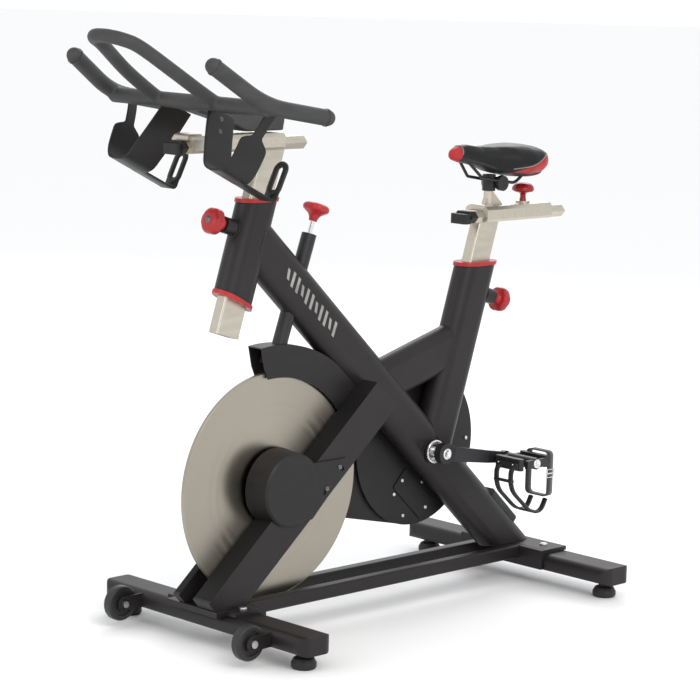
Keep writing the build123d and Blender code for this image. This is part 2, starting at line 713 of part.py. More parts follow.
def guard_screws():
    """Pan-head screws on the guard's frame side."""
    screws = []
    for x, z in SCREW_SPOTS:
        seat = GUARD_DRUM_IN + (3.0 if (x, z) in COVER_SCREWS else 0.0)
        head = y_rod(4.5, (x, z), seat, seat + 3)
        head = fillet(head.edges().filter_by(GeomType.CIRCLE).group_by(Axis.Y)[-1], 1.5)
        screws.append(head + y_rod(2.5, (x, z), seat - 8, seat))
    return Compound(screws)


# ---------------------------------------------------------------- posts, rails and sliders
def rail_section(grow=0.0):
    """The rail's six-sided section, in the YZ plane, standing on z = 0."""
    top = RAIL_TOP_WIDE / 2 + grow
    mid = RAIL_MID_WIDE / 2 + grow
    high = RAIL_HIGH
    return [(-top, -grow), (-mid, high / 2), (-top, high + grow), (top, high + grow), (mid, high / 2),
            (top, -grow)]


def rail_bar(x0, x1, bottom, grow=0.0):
    face = make_face(Polyline(*[(x0, y, bottom + z) for y, z in rail_section(grow)], close=True))
    return extrude(face, amount=x1 - x0, dir=(1, 0, 0))


def post_axis_x(top, z):
    """X of a post's axis at height z."""
    return top[0] + (top[1] - z) * tan(radians(POST_LEAN))


def post(top, foot_z, rail_bottom):
    """A hollow post, square-ended at the foot and cut flat under its rail."""
    foot = (post_axis_x(top, foot_z), foot_z)
    head = (post_axis_x(top, rail_bottom + 40), rail_bottom + 40)
    outer = rounded_bar(foot, head, POST_DEEP, POST_WIDE, 5)
    inner = rounded_bar(foot, head, POST_DEEP - 2 * POST_WALL, POST_WIDE - 2 * POST_WALL, 3)
    return outer - inner - box_between(-900, 900, -60, 60, rail_bottom, rail_bottom + 200)


BAR_RAIL = (142.0, 462.0)
BAR_CAP_FRONT = 488.0
SEAT_RAIL = (-HALF_LENGTH, -384.0)
SEAT_CAP_FRONT = -346.0


def handlebar_post():
    part = post(HEAD_TOP, 634, RAIL_BOTTOM_BAR)
    return part + rail_bar(BAR_RAIL[0], BAR_RAIL[1], RAIL_BOTTOM_BAR)


def seat_post():
    part = post(SEAT_TUBE_TOP, 560, RAIL_BOTTOM_SEAT)
    return part + rail_bar(SEAT_RAIL[0], SEAT_RAIL[1], RAIL_BOTTOM_SEAT)


def rail_cap(x0, x1, bottom):
    """The black plastic stop on a rail's front end."""
    middle = (x0 + x1) / 2
    back = rail_bar(x0, middle, bottom)
    nose = box_between(middle, x1, -24, 24, bottom - 1, bottom + RAIL_HIGH - 5)
    nose = fillet(nose.edges().filter_by(Axis.Z).group_by(Axis.X)[-1], 8)
    return back + nose


SLIDER_WALL = 5.0


def slider(x0, x1, bottom, tongue):
    """A cast block that slides on a rail, open underneath for the post."""
    half = RAIL_MID_WIDE / 2 + SLIDER_WALL
    top = bottom + RAIL_HIGH + 9
    body = box_between(x0, x1, -half, half, bottom + 1, top)
    body = chamfer(body.edges().filter_by(Axis.X).group_by(Axis.Z)[-1], 7)
    body = chamfer(body.edges().filter_by(Axis.X).group_by(Axis.Z)[0], 6)
    lip = box_between(x1 - 30, x1 + tongue, -22, 22, bottom + RAIL_HIGH + 1, top + 4)
    lip = fillet(lip.edges().filter_by(Axis.Y).group_by(Axis.X)[-1].group_by(Axis.Z)[-1], 8)
    body += lip
    body -= rail_bar(x0 - 5, x1 + tongue + 5, bottom, RUNNING_FIT)
    body -= box_between(x0 - 5, x1 + 5, -RAIL_TOP_WIDE / 2 - 1, RAIL_TOP_WIDE / 2 + 1,
                        bottom - 5, bottom + 5)
    return body


SEAT_SLIDER_X = (-623.0, -408.0)
SADDLE_POST = (-445.0, 11.0)
TILT_AXIS = (-445.0, 911.0)
KNOB_AT = -560.0
SEAT_DECK = RAIL_BOTTOM_SEAT + RAIL_HIGH + 9


def seat_slider():
    x, r = SADDLE_POST
    body = slider(SEAT_SLIDER_X[0], SEAT_SLIDER_X[1], RAIL_BOTTOM_SEAT, 2)
    body += z_rod(r, x, 0, SEAT_DECK - 2, 906)
    body += side_plate([(x - 8, 893), (x - 44, SEAT_DECK - 1), (x + 20, SEAT_DECK - 1), (x + 8, 885)], -5, 5)
    body += z_rod(16, KNOB_AT, 0, SEAT_DECK - 2, SEAT_DECK + 5)
    return body - z_rod(5 + RUNNING_FIT, KNOB_AT, 0, SEAT_DECK - 8, SEAT_DECK + 20)


def seat_knob():
    """The mushroom knob that clamps the seat slider."""
    base = SEAT_DECK + 5 + RUNNING_FIT
    points = [(0, -8), (5, -8), (5, 0), (8, 0), (6, 7), (7, 17), (20, 20), (25, 24), (24, 31), (18, 38),
              (8, 41), (0, 41)]
    profile = make_face(Polyline(*[(r, 0, z) for r, z in points], close=True))
    return Pos(KNOB_AT, 0, base) * revolve(profile, axis=Axis.Z)


def saddle_clamp():
    """The collar on the saddle post with the barrel that the rails tilt on."""
    x, r = SADDLE_POST
    z = TILT_AXIS[1]
    collar = z_rod(15, x, 0, 894, 930) - z_rod(r, x, 0, 880, 906)
    collar -= side_plate([(x - 8, 893), (x - 44, SEAT_DECK - 1), (x + 20, SEAT_DECK - 1), (x + 8, 885)], -5, 5)
    barrel = y_rod(13, (TILT_AXIS[0] - 20, z), -15, 15)
    arm = box_between(x - 22, x, -12, 12, z - 11, z + 7)
    return (collar + barrel + arm) - z_rod(r, x, 0, 880, 906)


TILT_CENTRE = (TILT_AXIS[0] - 20, TILT_AXIS[1])
SADDLE_RAIL_R = 3.5
SADDLE_CROWN_R = 151.0       # the pad's top is this round from side to side


def saddle_rails():
    """The two wire rails with the ears that clamp them to the barrel."""
    rails = []
    for side in (1, -1):
        y = side * 22.0
        points = [(-350, side * 10, 973), (-398, y, 926), (-440, y, 919), (-506, y, 910),
                  (-540, side * 36, 946)]
        wire = bent_bar(points, [12, 20, 20], SADDLE_RAIL_R)
        ear = y_rod(17, TILT_CENTRE, side * (15 + RUNNING_FIT), side * 26)
        rails.append(wire + ear)
    return Compound([piece.solid() for piece in rails])


def saddle():
    """The saddle's pad and shell as one plain cushion."""
    half = [(-314, 0), (-317, 10), (-330, 20), (-360, 25), (-400, 34), (-440, 52), (-480, 71), (-520, 79),
            (-560, 77), (-584, 58), (-581, 30), (-574, 0)]
    outline = Spline(*[(x, y, 0) for x, y in half[1:-1]])
    rim = outline + Line(outline @ 0, (half[0][0], 0, 0)) + Line(outline @ 1, (half[-1][0], 0, 0))
    spine = Line((half[0][0], 0, 0), (half[-1][0], 0, 0))
    plan = extrude(make_face(rim + spine), amount=200, dir=(0, 0, 1))
    plan = Pos(0, 0, 880) * (plan + mirror_y(plan))
    side = side_plate([(-308, 966), (-316, 988), (-336, 998), (-356, 1000), (-400, 993), (-440, 994),
                       (-500, 997), (-550, 994), (-580, 984), (-590, 950), (-572, 930), (-530, 922),
                       (-458, 935), (-400, 950), (-345, 964)], -100, 100)
    crown = rod((-700, 0, 850), (-200, 0, 850), SADDLE_CROWN_R)
    return (plan & side & crown) - saddle_rails()


PIN_KNOB_R = 28.0


def head_pin():
    return pop_pin(HEAD_PIN_AT, POST_FRONT, HEAD_DEEP / 2)


def seat_pin():
    return pop_pin(SEAT_PIN_AT, -POST_FRONT, TUBE_DEEP / 2)


def pop_pin(centre, forward, half):
    """A pop pin: steel pin in the boss, its nose 1 mm clear of the post, and a lobed plastic head."""
    face = half + PIN_BOSS_LONG + GAP
    start = centre + forward * (POST_DEEP / 2 + 1)
    pin = rod(tuple(start), tuple(centre + forward * (face + 16)), PIN_HOLE_R - RUNNING_FIT)
    neck = rod(tuple(centre + forward * face), tuple(centre + forward * (face + 18)), 12)
    head = rod(tuple(centre + forward * (face + 14)), tuple(centre + forward * (face + 42)), PIN_KNOB_R)
    head = fillet(head.edges().filter_by(GeomType.CIRCLE), 8)
    for k in range(6):
        turn = radians(60 * k + 30)
        across = Vector(0, 1, 0) * cos(turn) + POST_UP * sin(turn)
        axis = centre + across * (PIN_KNOB_R + 6)
        head -= rod(tuple(axis + forward * (face + 5)), tuple(axis + forward * (face + 50)), 9)
    return pin + neck + head


def post_bushings():
    """Red plastic sleeves: head tube top and bottom, and seat tube top."""
    rim = 8.0
    hole = post_hole(HEAD_TOP)
    top = sleeve(HEAD_AXIS, HEAD_DEEP, hole, HEAD_TOP, 0, 45, rim)
    foot = sleeve(HEAD_AXIS, HEAD_DEEP, hole, HEAD_BOTTOM, HEAD_MOUTH_SLOPE, -45, -rim)
    seat_axis = (SEAT_FOOT, post_point(SEAT_TUBE_TOP, -60))
    seat = sleeve(seat_axis, TUBE_DEEP, post_hole(SEAT_TUBE_TOP), SEAT_TUBE_TOP, 0, 44, rim)
    return Compound([piece.solid() for piece in (top, foot, seat)])


def post_hole(top):
    """The running-fit hole for a post, long enough for any sleeve."""
    grow = 2 * RUNNING_FIT
    return rounded_bar(post_point(top, 400), post_point(top, -100), POST_DEEP + grow,
                       POST_WIDE + grow, 5 + RUNNING_FIT)


def sleeve(axis, deep, hole, mouth, slope, inward, rim):
    """A plug inside a tube's mouth with a rim outside it, both bored for the post.

    inward and rim are heights along Z from the mouth, positive towards the tube's foot
    for inward and towards its top for rim.
    """
    wide = 2 * TUBE_HALF_WIDE
    side = 1 if rim > 0 else -1
    plug = oval_bar(*axis, deep - 2 * TUBE_WALL, wide - 2 * TUBE_WALL)
    flange = oval_bar(*axis, deep + 6, wide + 6)
    end = post_point(mouth, inward)
    lip = post_point(mouth, -rim)
    plug -= above(mouth, slope, side)
    plug -= above(end, slope, -side)
    flange -= above(mouth, slope, -side)
    flange -= above(lip, slope, side)
    return plug + flange - hole


# ---------------------------------------------------------------- brake
BRAKE_ROD_R = 5.0
BRAKE_BORE_R = 12.0


def brake_tube():
    """The guide tube for the brake rod, through the main tube and down to the shroud."""
    top = Vector(*xz(BRAKE_TOP))
    foot = Vector(*xz(BRAKE_FOOT))
    tube = BRAKE_BAR - rod(tuple(foot - BRAKE_UP * 5), tuple(top - BRAKE_UP * 6), BRAKE_BORE_R)
    return tube - rod(tuple(foot), tuple(top + BRAKE_UP * 5), BRAKE_ROD_R + RUNNING_FIT)


def brake_rod():
    top = Vector(*xz(BRAKE_TOP))
    end = Vector(*xz(BRAKE_FOOT)) - BRAKE_UP * 18
    return rod(tuple(end), tuple(top + BRAKE_UP * 40), BRAKE_ROD_R)


def brake_pad():
    """The friction block on the rod's end, shaped to the flywheel's rim."""
    end = Vector(*xz(BRAKE_FOOT)) - BRAKE_UP * 18
    block = Plane(origin=end, x_dir=Vector(0, 1, 0).cross(BRAKE_UP), z_dir=-BRAKE_UP)
    body = extrude(block * Rectangle(58, 28), amount=26)
    return body - y_rod(FLY_R + 13, AXLE, -40, 40)


def brake_knob():
    """The mushroom knob on top of the brake rod."""
    top = Vector(*xz(BRAKE_TOP)) + BRAKE_UP * 28
    points = [(0, 0), (9, 0), (11, 10), (16, 16), (27, 21), (29, 27), (28, 33), (22, 38), (0, 40)]
    profile = make_face(Polyline(*[(r, 0, z) for r, z in points], close=True))
    solid = revolve(profile, axis=Axis.Z)
    for k in range(8):
        turn = radians(45 * k)
        solid -= z_rod(6, 33 * cos(turn), 33 * sin(turn), 12, 50)
    solid -= z_rod(BRAKE_ROD_R + RUNNING_FIT, 0, 0, -1, 12 + RUNNING_FIT)
    return Plane(origin=top, x_dir=Vector(0, 1, 0).cross(BRAKE_UP), z_dir=BRAKE_UP) * solid


# ---------------------------------------------------------------- handlebar
BAR_CROSS = (442.0, 1112.0)
BAR_R = 16.0
LOOP_R = 14.0
HORN_R = 17.0


def jointed_bar(points, radius):
    """A round bar of straight runs with ball corners and ball ends."""
    bar = Pos(*points[0]) * Sphere(radius)
    for start, end in zip(points, points[1:]):
        bar += rod(start, end, radius)
        bar += Pos(*end) * Sphere(radius)
    return bar


def handlebar_half():
    """The left half of the horns, grips, cross tube, centre loop and stem."""
    x, z = BAR_CROSS
    front = HALF_LENGTH - LOOP_R
    half = jointed_bar([(562, 210, 1194), (448, 233, 1117), (296, 246, 1092)], HORN_R)
    half += rod((x, 0, z), (x, 233, z), BAR_R)
    loop = [(x, 88, z), (545, 76, 1176), (front - 46, 56, 1224), (front - 14, 46, 1238),
            (front, 30, 1242), (front, 0, 1242)]
    half += jointed_bar(loop, LOOP_R)
    half += side_plate([(x + 10, z + 8), (x + 12, z - 14), (330, 1062), (300, 1049), (205, 1049),
                        (200, 1078), (300, 1092)], 0, 26)
    return half & box_between(0, 900, 0, 400, 900, 1300)


def handlebar():
    half = handlebar_half()
    return half + mirror_y(half)


BAR_SLIDER_X = (207.0, 454.0)


def handlebar_slider():
    body = slider(BAR_SLIDER_X[0], BAR_SLIDER_X[1], RAIL_BOTTOM_BAR, 6)
    return body


CAGE_TILT = 26.0
CAGE_AT = (407.0, 1105.0)    # X and Z of the inner plate's top edge, at its middle
CAGE_WALL = 4.0


def bottle_cage(side):
    """A moulded bottle cage: a slanted inner plate, a round bottom, a short outer panel with a
    narrow strap up to the bar, and an arm behind that ends in an upright slotted tab."""
    tilt = radians(CAGE_TILT)
    plane = Plane(origin=xz(CAGE_AT), x_dir=(0, 1, 0), z_dir=(cos(tilt), 0, sin(tilt)))
    path = FilletPolyline((64, 4), (106, -110), (128, -142), (174, -142), (188, -112), (192, -66),
                          (214, 4), radius=[26, 18, 18, 20, 20])
    band = extrude(trace(path, line_width=CAGE_WALL), amount=37, both=True)
    band -= Pos(206, -31, 0) * (Box(60, 76, 100) - Box(60, 76, 24))
    arm = Pos(151, -142, -80) * Box(40, CAGE_WALL, 92)
    tab = Pos(151, -106, -124) * Box(40, 76, CAGE_WALL)
    tab = fillet(tab.edges().filter_by(Axis.Z).group_by(Axis.Y)[-1], 19)
    slot_cut = Pos(151, -102, -124) * Box(14, 46, 20)
    cage = plane * (band + arm + tab - slot_cut)
    part = cage - handlebar_half()
    return part.solid() if side > 0 else mirror_y(part.solid())


NODES = {
    "main_tube": main_tube,
    "head_tube": head_tube,
    "seat_tube": seat_tube,
    "top_brace": top_brace,
    "fork_leg_left": lambda: fork_leg(LEG_OUT),
    "fork_leg_right": lambda: mirror_y(fork_leg(RIGHT_LEG_OUT)),
    "rail_left": lambda: rail(1),
    "rail_right": lambda: rail(-1),
    "front_plate": front_plate,
    "rear_plate": rear_plate,
    "step_pad": step_pad,
    "front_stabiliser": front_stabiliser,
    "rear_stabiliser": lambda: stabiliser(REAR_STAB_X),
    "frame_bolts": frame_bolts,
    "foot_front_left": lambda: levelling_foot(FRONT_STAB_X, FOOT_Y),
    "foot_front_right": lambda: levelling_foot(FRONT_STAB_X, -FOOT_Y),
    "foot_rear_left": lambda: levelling_foot(REAR_STAB_X, FOOT_Y),
    "foot_rear_right": lambda: levelling_foot(REAR_STAB_X, -FOOT_Y),
    "wheel_left": lambda: transport_wheel(1),
    "wheel_right": lambda: transport_wheel(-1),
    "flywheel": flywheel,
    "flywheel_axle": flywheel_axle,
    "flywheel_pulley": flywheel_pulley,
    "bearings": bearings,
    "drive_belt": drive_belt,
    "crank_pulley": crank_pulley,
    "crank_axle": crank_axle,
    "crank_left": lambda: crank(1),
    "crank_right": lambda: crank(-1),
    "pedal_axles": pedal_axles,
    "pedal_left": lambda: pedal(1),
    "pedal_right": lambda: pedal(-1),
    "toe_clip_left": lambda: toe_clip(1),
    "toe_clip_right": lambda: toe_clip(-1),
    "hub_cover": hub_cover,
    "brake_shroud": brake_shroud,
    "brake_tube": brake_tube,
    "brake_rod": brake_rod,
    "brake_pad": brake_pad,
    "brake_knob": brake_knob,
    "guard_inner": guard_inner,
    "guard_outer": guard_outer,
    "inspection_cover": inspection_cover,
    "guard_screws": guard_screws,
    "post_bushings": post_bushings,
    "head_pin": head_pin,
    "seat_pin": seat_pin,
    "handlebar_post": handlebar_post,
    "handlebar_rail_cap": lambda: rail_cap(BAR_RAIL[1], BAR_CAP_FRONT, RAIL_BOTTOM_BAR),
    "handlebar_slider": handlebar_slider,
    "handlebar": handlebar,
    "bottle_cage_left": lambda: bottle_cage(1),
    "bottle_cage_right": lambda: bottle_cage(-1),
    "seat_post": seat_post,
    "seat_rail_cap": lambda: rail_cap(SEAT_RAIL[1], SEAT_CAP_FRONT, RAIL_BOTTOM_SEAT),
    "seat_slider": seat_slider,
    "seat_knob": seat_knob,
    "saddle_clamp": saddle_clamp,
    "saddle_rails": saddle_rails,
    "saddle": saddle,
}

for node, make in NODES.items():
    save(make(), node)
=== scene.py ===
"""Looks for the indoor spin bike: every piece is in metres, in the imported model's own frame."""
import bmesh
import bpy
from math import cos, pi, radians, sin, tan
from mathutils import Matrix, Vector
from mathutils.bvhtree import BVHTree


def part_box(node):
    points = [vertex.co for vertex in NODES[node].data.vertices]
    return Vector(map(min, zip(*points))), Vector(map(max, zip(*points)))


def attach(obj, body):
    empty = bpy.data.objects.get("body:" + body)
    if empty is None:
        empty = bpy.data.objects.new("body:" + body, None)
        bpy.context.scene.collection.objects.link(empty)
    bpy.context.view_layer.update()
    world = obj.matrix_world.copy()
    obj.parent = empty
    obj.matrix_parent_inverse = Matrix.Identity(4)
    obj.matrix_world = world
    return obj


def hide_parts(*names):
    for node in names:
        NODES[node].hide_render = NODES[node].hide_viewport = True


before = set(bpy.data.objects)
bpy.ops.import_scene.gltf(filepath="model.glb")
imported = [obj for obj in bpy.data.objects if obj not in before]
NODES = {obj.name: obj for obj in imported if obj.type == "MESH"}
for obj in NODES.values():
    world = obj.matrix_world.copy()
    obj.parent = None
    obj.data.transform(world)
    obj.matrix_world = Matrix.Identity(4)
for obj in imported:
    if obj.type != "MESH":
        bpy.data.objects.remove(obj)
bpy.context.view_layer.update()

# ------------------------------------------------------------------ camera and set
CAMERA_AT = Vector((3.8012, 3.8885, 1.4304))
CAMERA_TURN = radians(45.46)      # the way it looks, from -X towards -Y
CAMERA_DIP = radians(8.94)
CAMERA_ROLL = radians(1.55)
CAMERA_LENS = 133.07
FLOOR_HALF = 160.0    # far enough for the floor to meet the sky


def add_camera():
    """The camera at the photograph's viewing angle."""
    look = Vector((-cos(CAMERA_DIP) * cos(CAMERA_TURN), -cos(CAMERA_DIP) * sin(CAMERA_TURN),
                   -sin(CAMERA_DIP)))
    right = look.cross(Vector((0, 0, 1))).normalized()
    up = right.cross(look)
    rolled_right = cos(CAMERA_ROLL) * right + sin(CAMERA_ROLL) * up
    rolled_up = cos(CAMERA_ROLL) * up - sin(CAMERA_ROLL) * right
    data = bpy.data.cameras.new("camera")
    data.lens = CAMERA_LENS
    data.sensor_width = 36
    data.clip_end = 50
    camera = bpy.data.objects.new("camera", data)
    bpy.context.scene.collection.objects.link(camera)
    turn = Matrix((rolled_right, rolled_up, -look)).transposed()
    camera.matrix_world = Matrix.Translation(CAMERA_AT) @ turn.to_4x4()
    bpy.context.scene.camera = camera


def add_light(name, place, aim, size, power, tint=(1, 1, 1)):
    """A soft rectangular light pointing from place at aim."""
    data = bpy.data.lights.new(name, "AREA")
    data.shape = "RECTANGLE"
    data.size, data.size_y = size
    data.energy = power
    data.color = tint
    lamp = bpy.data.objects.new(name, data)
    bpy.context.scene.collection.objects.link(lamp)
    away = Vector(place) - Vector(aim)
    lamp.matrix_world = Matrix.Translation(place) @ away.to_track_quat("Z", "Y").to_matrix().to_4x4()


def add_set():
    """A wide pale floor, an even sky, and the studio lights."""
    mesh = bpy.data.meshes.new("floor")
    build = bmesh.new()
    signs = ((-1, -1), (1, -1), (1, 1), (-1, 1))
    build.faces.new([build.verts.new((x * FLOOR_HALF, y * FLOOR_HALF, -0.0005)) for x, y in signs])
    build.to_mesh(mesh)
    floor = bpy.data.objects.new("floor", mesh)
    bpy.context.scene.collection.objects.link(floor)
    floor.data.materials.append(plain("studio_floor", (0.93, 0.93, 0.93), 0.9))
    world = bpy.data.worlds.new("studio")
    world.use_nodes = True
    world.node_tree.nodes["Background"].inputs["Color"].default_value = (0.985, 0.99, 1.0, 1)
    world.node_tree.nodes["Background"].inputs["Strength"].default_value = 1.04
    bpy.context.scene.world = world
    add_light("key", (1.2, 4.2, 3.4), (0, 0, 0.6), (2.6, 2.0), 95, (1, 0.975, 0.94))
    add_light("fill", (4.6, -0.6, 2.0), (0, 0, 0.6), (2.4, 2.4), 30)
    add_light("rim", (-3.4, -2.6, 3.2), (0, 0, 0.7), (2.4, 1.6), 60, (0.96, 0.98, 1))
    view = bpy.context.scene.view_settings
    view.view_transform = "Standard"
    view.look = "None"
    view.exposure = 0.0


# ------------------------------------------------------------------ materials
CHARCOAL = (0.0124, 0.0101, 0.0109)
EDGE_LOW, EDGE_HIGH = 0.02, 0.16     # how sharply an edge has to turn to show wear
NOSE_SEAM_X = -0.341
FLANK_SEAM_START = (-0.452, 0.927)    # X and Z where the red flank begins, low on the side
FLANK_SEAM_RISE = 0.42
FLANK_FROM = 0.036    # the red stops this far from the middle


def shader(name):
    """A new node material and its principled node."""
    material = bpy.data.materials.new(name)
    material.use_nodes = True
    tree = material.node_tree
    return material, tree, tree.nodes["Principled BSDF"]


def plain(name, colour, rough):
    """A plain surface, for the studio alone."""
    material, _, surface = shader(name)
    surface.inputs["Base Color"].default_value = (*colour, 1)
    surface.inputs["Roughness"].default_value = rough
    return material


def node(tree, kind, **settings):
    """A new node with its settings."""
    made = tree.nodes.new(kind)
    for key, value in settings.items():
        setattr(made, key, value)
    return made


def noise_at(tree, scale, detail=3.0, stretch=(1, 1, 1)):
    """Noise in object space; stretch under 1 draws it out along that axis."""
    where = node(tree, "ShaderNodeTexCoord")
    mapping = node(tree, "ShaderNodeMapping")
    mapping.inputs["Scale"].default_value = stretch
    tree.links.new(where.outputs["Object"], mapping.inputs["Vector"])
    texture = node(tree, "ShaderNodeTexNoise")
    texture.inputs["Scale"].default_value = scale
    texture.inputs["Detail"].default_value = detail
    texture.inputs["Roughness"].default_value = 0.55
    tree.links.new(mapping.outputs["Vector"], texture.inputs["Vector"])
    return texture.outputs["Fac"]


def ramp(tree, value, low, high, at=(0.35, 0.65)):
    """A colour or grey ramp on a value."""
    made = node(tree, "ShaderNodeValToRGB")
    made.color_ramp.elements[0].position = at[0]
    made.color_ramp.elements[1].position = at[1]
    made.color_ramp.elements[0].color = (*low, 1)
    made.color_ramp.elements[1].color = (*high, 1)
    tree.links.new(value, made.inputs["Fac"])
    return made.outputs["Color"]


def mix(tree, factor, a, b):
    """A colour mix; a and b are sockets or colours."""
    made = node(tree, "ShaderNodeMix", data_type="RGBA", blend_type="MIX")
    for value, socket in ((factor, made.inputs["Factor"]), (a, made.inputs["A"]), (b, made.inputs["B"])):
        if hasattr(value, "is_output"):
            tree.links.new(value, socket)
        elif isinstance(value, tuple):
            socket.default_value = (*value, 1)
        else:
            socket.default_value = value
    return made.outputs["Result"]


def math(tree, kind, a, b=0.0):
    """A sum on sockets or numbers."""
    made = node(tree, "ShaderNodeMath", operation=kind)
    for value, socket in ((a, made.inputs[0]), (b, made.inputs[1])):
        if hasattr(value, "is_output"):
            tree.links.new(value, socket)
        else:
            socket.default_value = value
    return made.outputs["Value"]


def edge_mask(tree, radius):
    """Bright along edges, where paint and plastic wear first."""
    bevel = node(tree, "ShaderNodeBevel", samples=4)
    bevel.inputs["Radius"].default_value = radius
    flat = node(tree, "ShaderNodeNewGeometry")
    product = node(tree, "ShaderNodeVectorMath", operation="DOT_PRODUCT")
    tree.links.new(bevel.outputs["Normal"], product.inputs[0])
    tree.links.new(flat.outputs["Normal"], product.inputs[1])
    edge = math(tree, "SUBTRACT", 1.0, product.outputs["Value"])
    spread = node(tree, "ShaderNodeMapRange", clamp=True)
    spread.inputs["From Min"].default_value = EDGE_LOW
    spread.inputs["From Max"].default_value = EDGE_HIGH
    tree.links.new(edge, spread.inputs["Value"])
    return spread.outputs["Result"]


def add_bump(tree, surface, height, strength, distance, soft_edge=0.0):
    """A bump on the surface, over edges rounded by soft_edge."""
    bump = node(tree, "ShaderNodeBump")
    bump.inputs["Strength"].default_value = strength
    bump.inputs["Distance"].default_value = distance
    tree.links.new(height, bump.inputs["Height"])
    if soft_edge:
        bevel = node(tree, "ShaderNodeBevel", samples=4)
        bevel.inputs["Radius"].default_value = soft_edge
        tree.links.new(bevel.outputs["Normal"], bump.inputs["Normal"])
    tree.links.new(bump.outputs["Normal"], surface.inputs["Normal"])


def finish_surface(tree, surface, colour, rough, metal=0.0):
    """Links or sets the three main inputs."""
    for value, key in ((colour, "Base Color"), (rough, "Roughness"), (metal, "Metallic")):
        socket = surface.inputs[key]
        if hasattr(value, "is_output"):
            tree.links.new(value, socket)
        elif isinstance(value, tuple):
            socket.default_value = (*value, 1)
        else:
            socket.default_value = value


def powder_coat(name, colour, rough=0.42, soft=0.0016, wear=(0.085, 0.08, 0.08)):
    """Textured powder coat: fine grain, slight cloudiness, scuffs, and thin worn edges."""
    material, tree, surface = shader(name)
    cloud = noise_at(tree, 7, 4)
    darker = tuple(c * 0.82 for c in colour)
    lighter = tuple(c * 1.18 for c in colour)
    body = ramp(tree, cloud, darker, lighter)
    speck = ramp(tree, noise_at(tree, 520, 2), (0, 0, 0), (1, 1, 1), (0.62, 0.7))
    body = mix(tree, math(tree, "MULTIPLY", speck, 0.10), body, tuple(min(1, c * 2.6) for c in colour))
    scuff = ramp(tree, noise_at(tree, 26, 5, (1, 1, 6)), (0, 0, 0), (1, 1, 1), (0.66, 0.74))
    worn = math(tree, "MULTIPLY", edge_mask(tree, soft), math(tree, "MULTIPLY", noise_at(tree, 60, 4), 0.55))
    body = mix(tree, worn, body, wear)
    shine = math(tree, "ADD", rough, math(tree, "MULTIPLY", math(tree, "SUBTRACT", cloud, 0.5), 0.22))
    shine = math(tree, "ADD", shine, math(tree, "MULTIPLY", scuff, 0.10))
    finish_surface(tree, surface, body, shine)
    surface.inputs["Specular IOR Level"].default_value = 0.30
    surface.inputs["Coat Weight"].default_value = 0.03
    surface.inputs["Coat Roughness"].default_value = 0.35
    add_bump(tree, surface, noise_at(tree, 760, 2), 0.16, 0.0004, soft)
    return material


def moulded(name, colour, rough=0.5, grain=900, depth=0.2, soft=0.0012, wear=0.35):
    """Moulded plastic or rubber: pebbled grain, faint flow marks, and rubbed edges."""
    material, tree, surface = shader(name)
    flow = noise_at(tree, 14, 3, (1, 1, 2.5))
    body = ramp(tree, flow, tuple(c * 0.85 for c in colour), tuple(c * 1.2 for c in colour))
    rub = math(tree, "MULTIPLY", edge_mask(tree, soft), wear * 0.5)
    body = mix(tree, rub, body, tuple(min(1, c * 2.2 + 0.03) for c in colour))
    shine = math(tree, "ADD", rough - 0.06, math(tree, "MULTIPLY", flow, 0.14))
    finish_surface(tree, surface, body, shine)
    surface.inputs["Specular IOR Level"].default_value = 0.34
    pebble = node(tree, "ShaderNodeTexVoronoi", feature="SMOOTH_F1")
    pebble.inputs["Scale"].default_value = grain
    where = node(tree, "ShaderNodeTexCoord")
    tree.links.new(where.outputs["Object"], pebble.inputs["Vector"])
    add_bump(tree, surface, pebble.outputs["Distance"], depth, 0.0004, soft)
    return material


def metal(name, colour, rough, stretch=(1, 1, 1), scale=160, depth=0.08, soft=0.0008, streak=0.12):
    """Metal with drawn or machined marks along the axis that stretch leaves short."""
    material, tree, surface = shader(name)
    marks = noise_at(tree, scale, 4, stretch)
    cloud = noise_at(tree, 9, 4)
    body = ramp(tree, marks, tuple(c * 0.88 for c in colour), colour)
    stain = ramp(tree, cloud, (0, 0, 0), (1, 1, 1), (0.5, 0.8))
    body = mix(tree, math(tree, "MULTIPLY", stain, 0.16), body, tuple(c * 0.72 for c in colour))
    shine = math(tree, "ADD", rough - streak / 2, math(tree, "MULTIPLY", marks, streak))
    finish_surface(tree, surface, body, shine, 1.0)
    add_bump(tree, surface, marks, depth, 0.0003, soft)
    return material


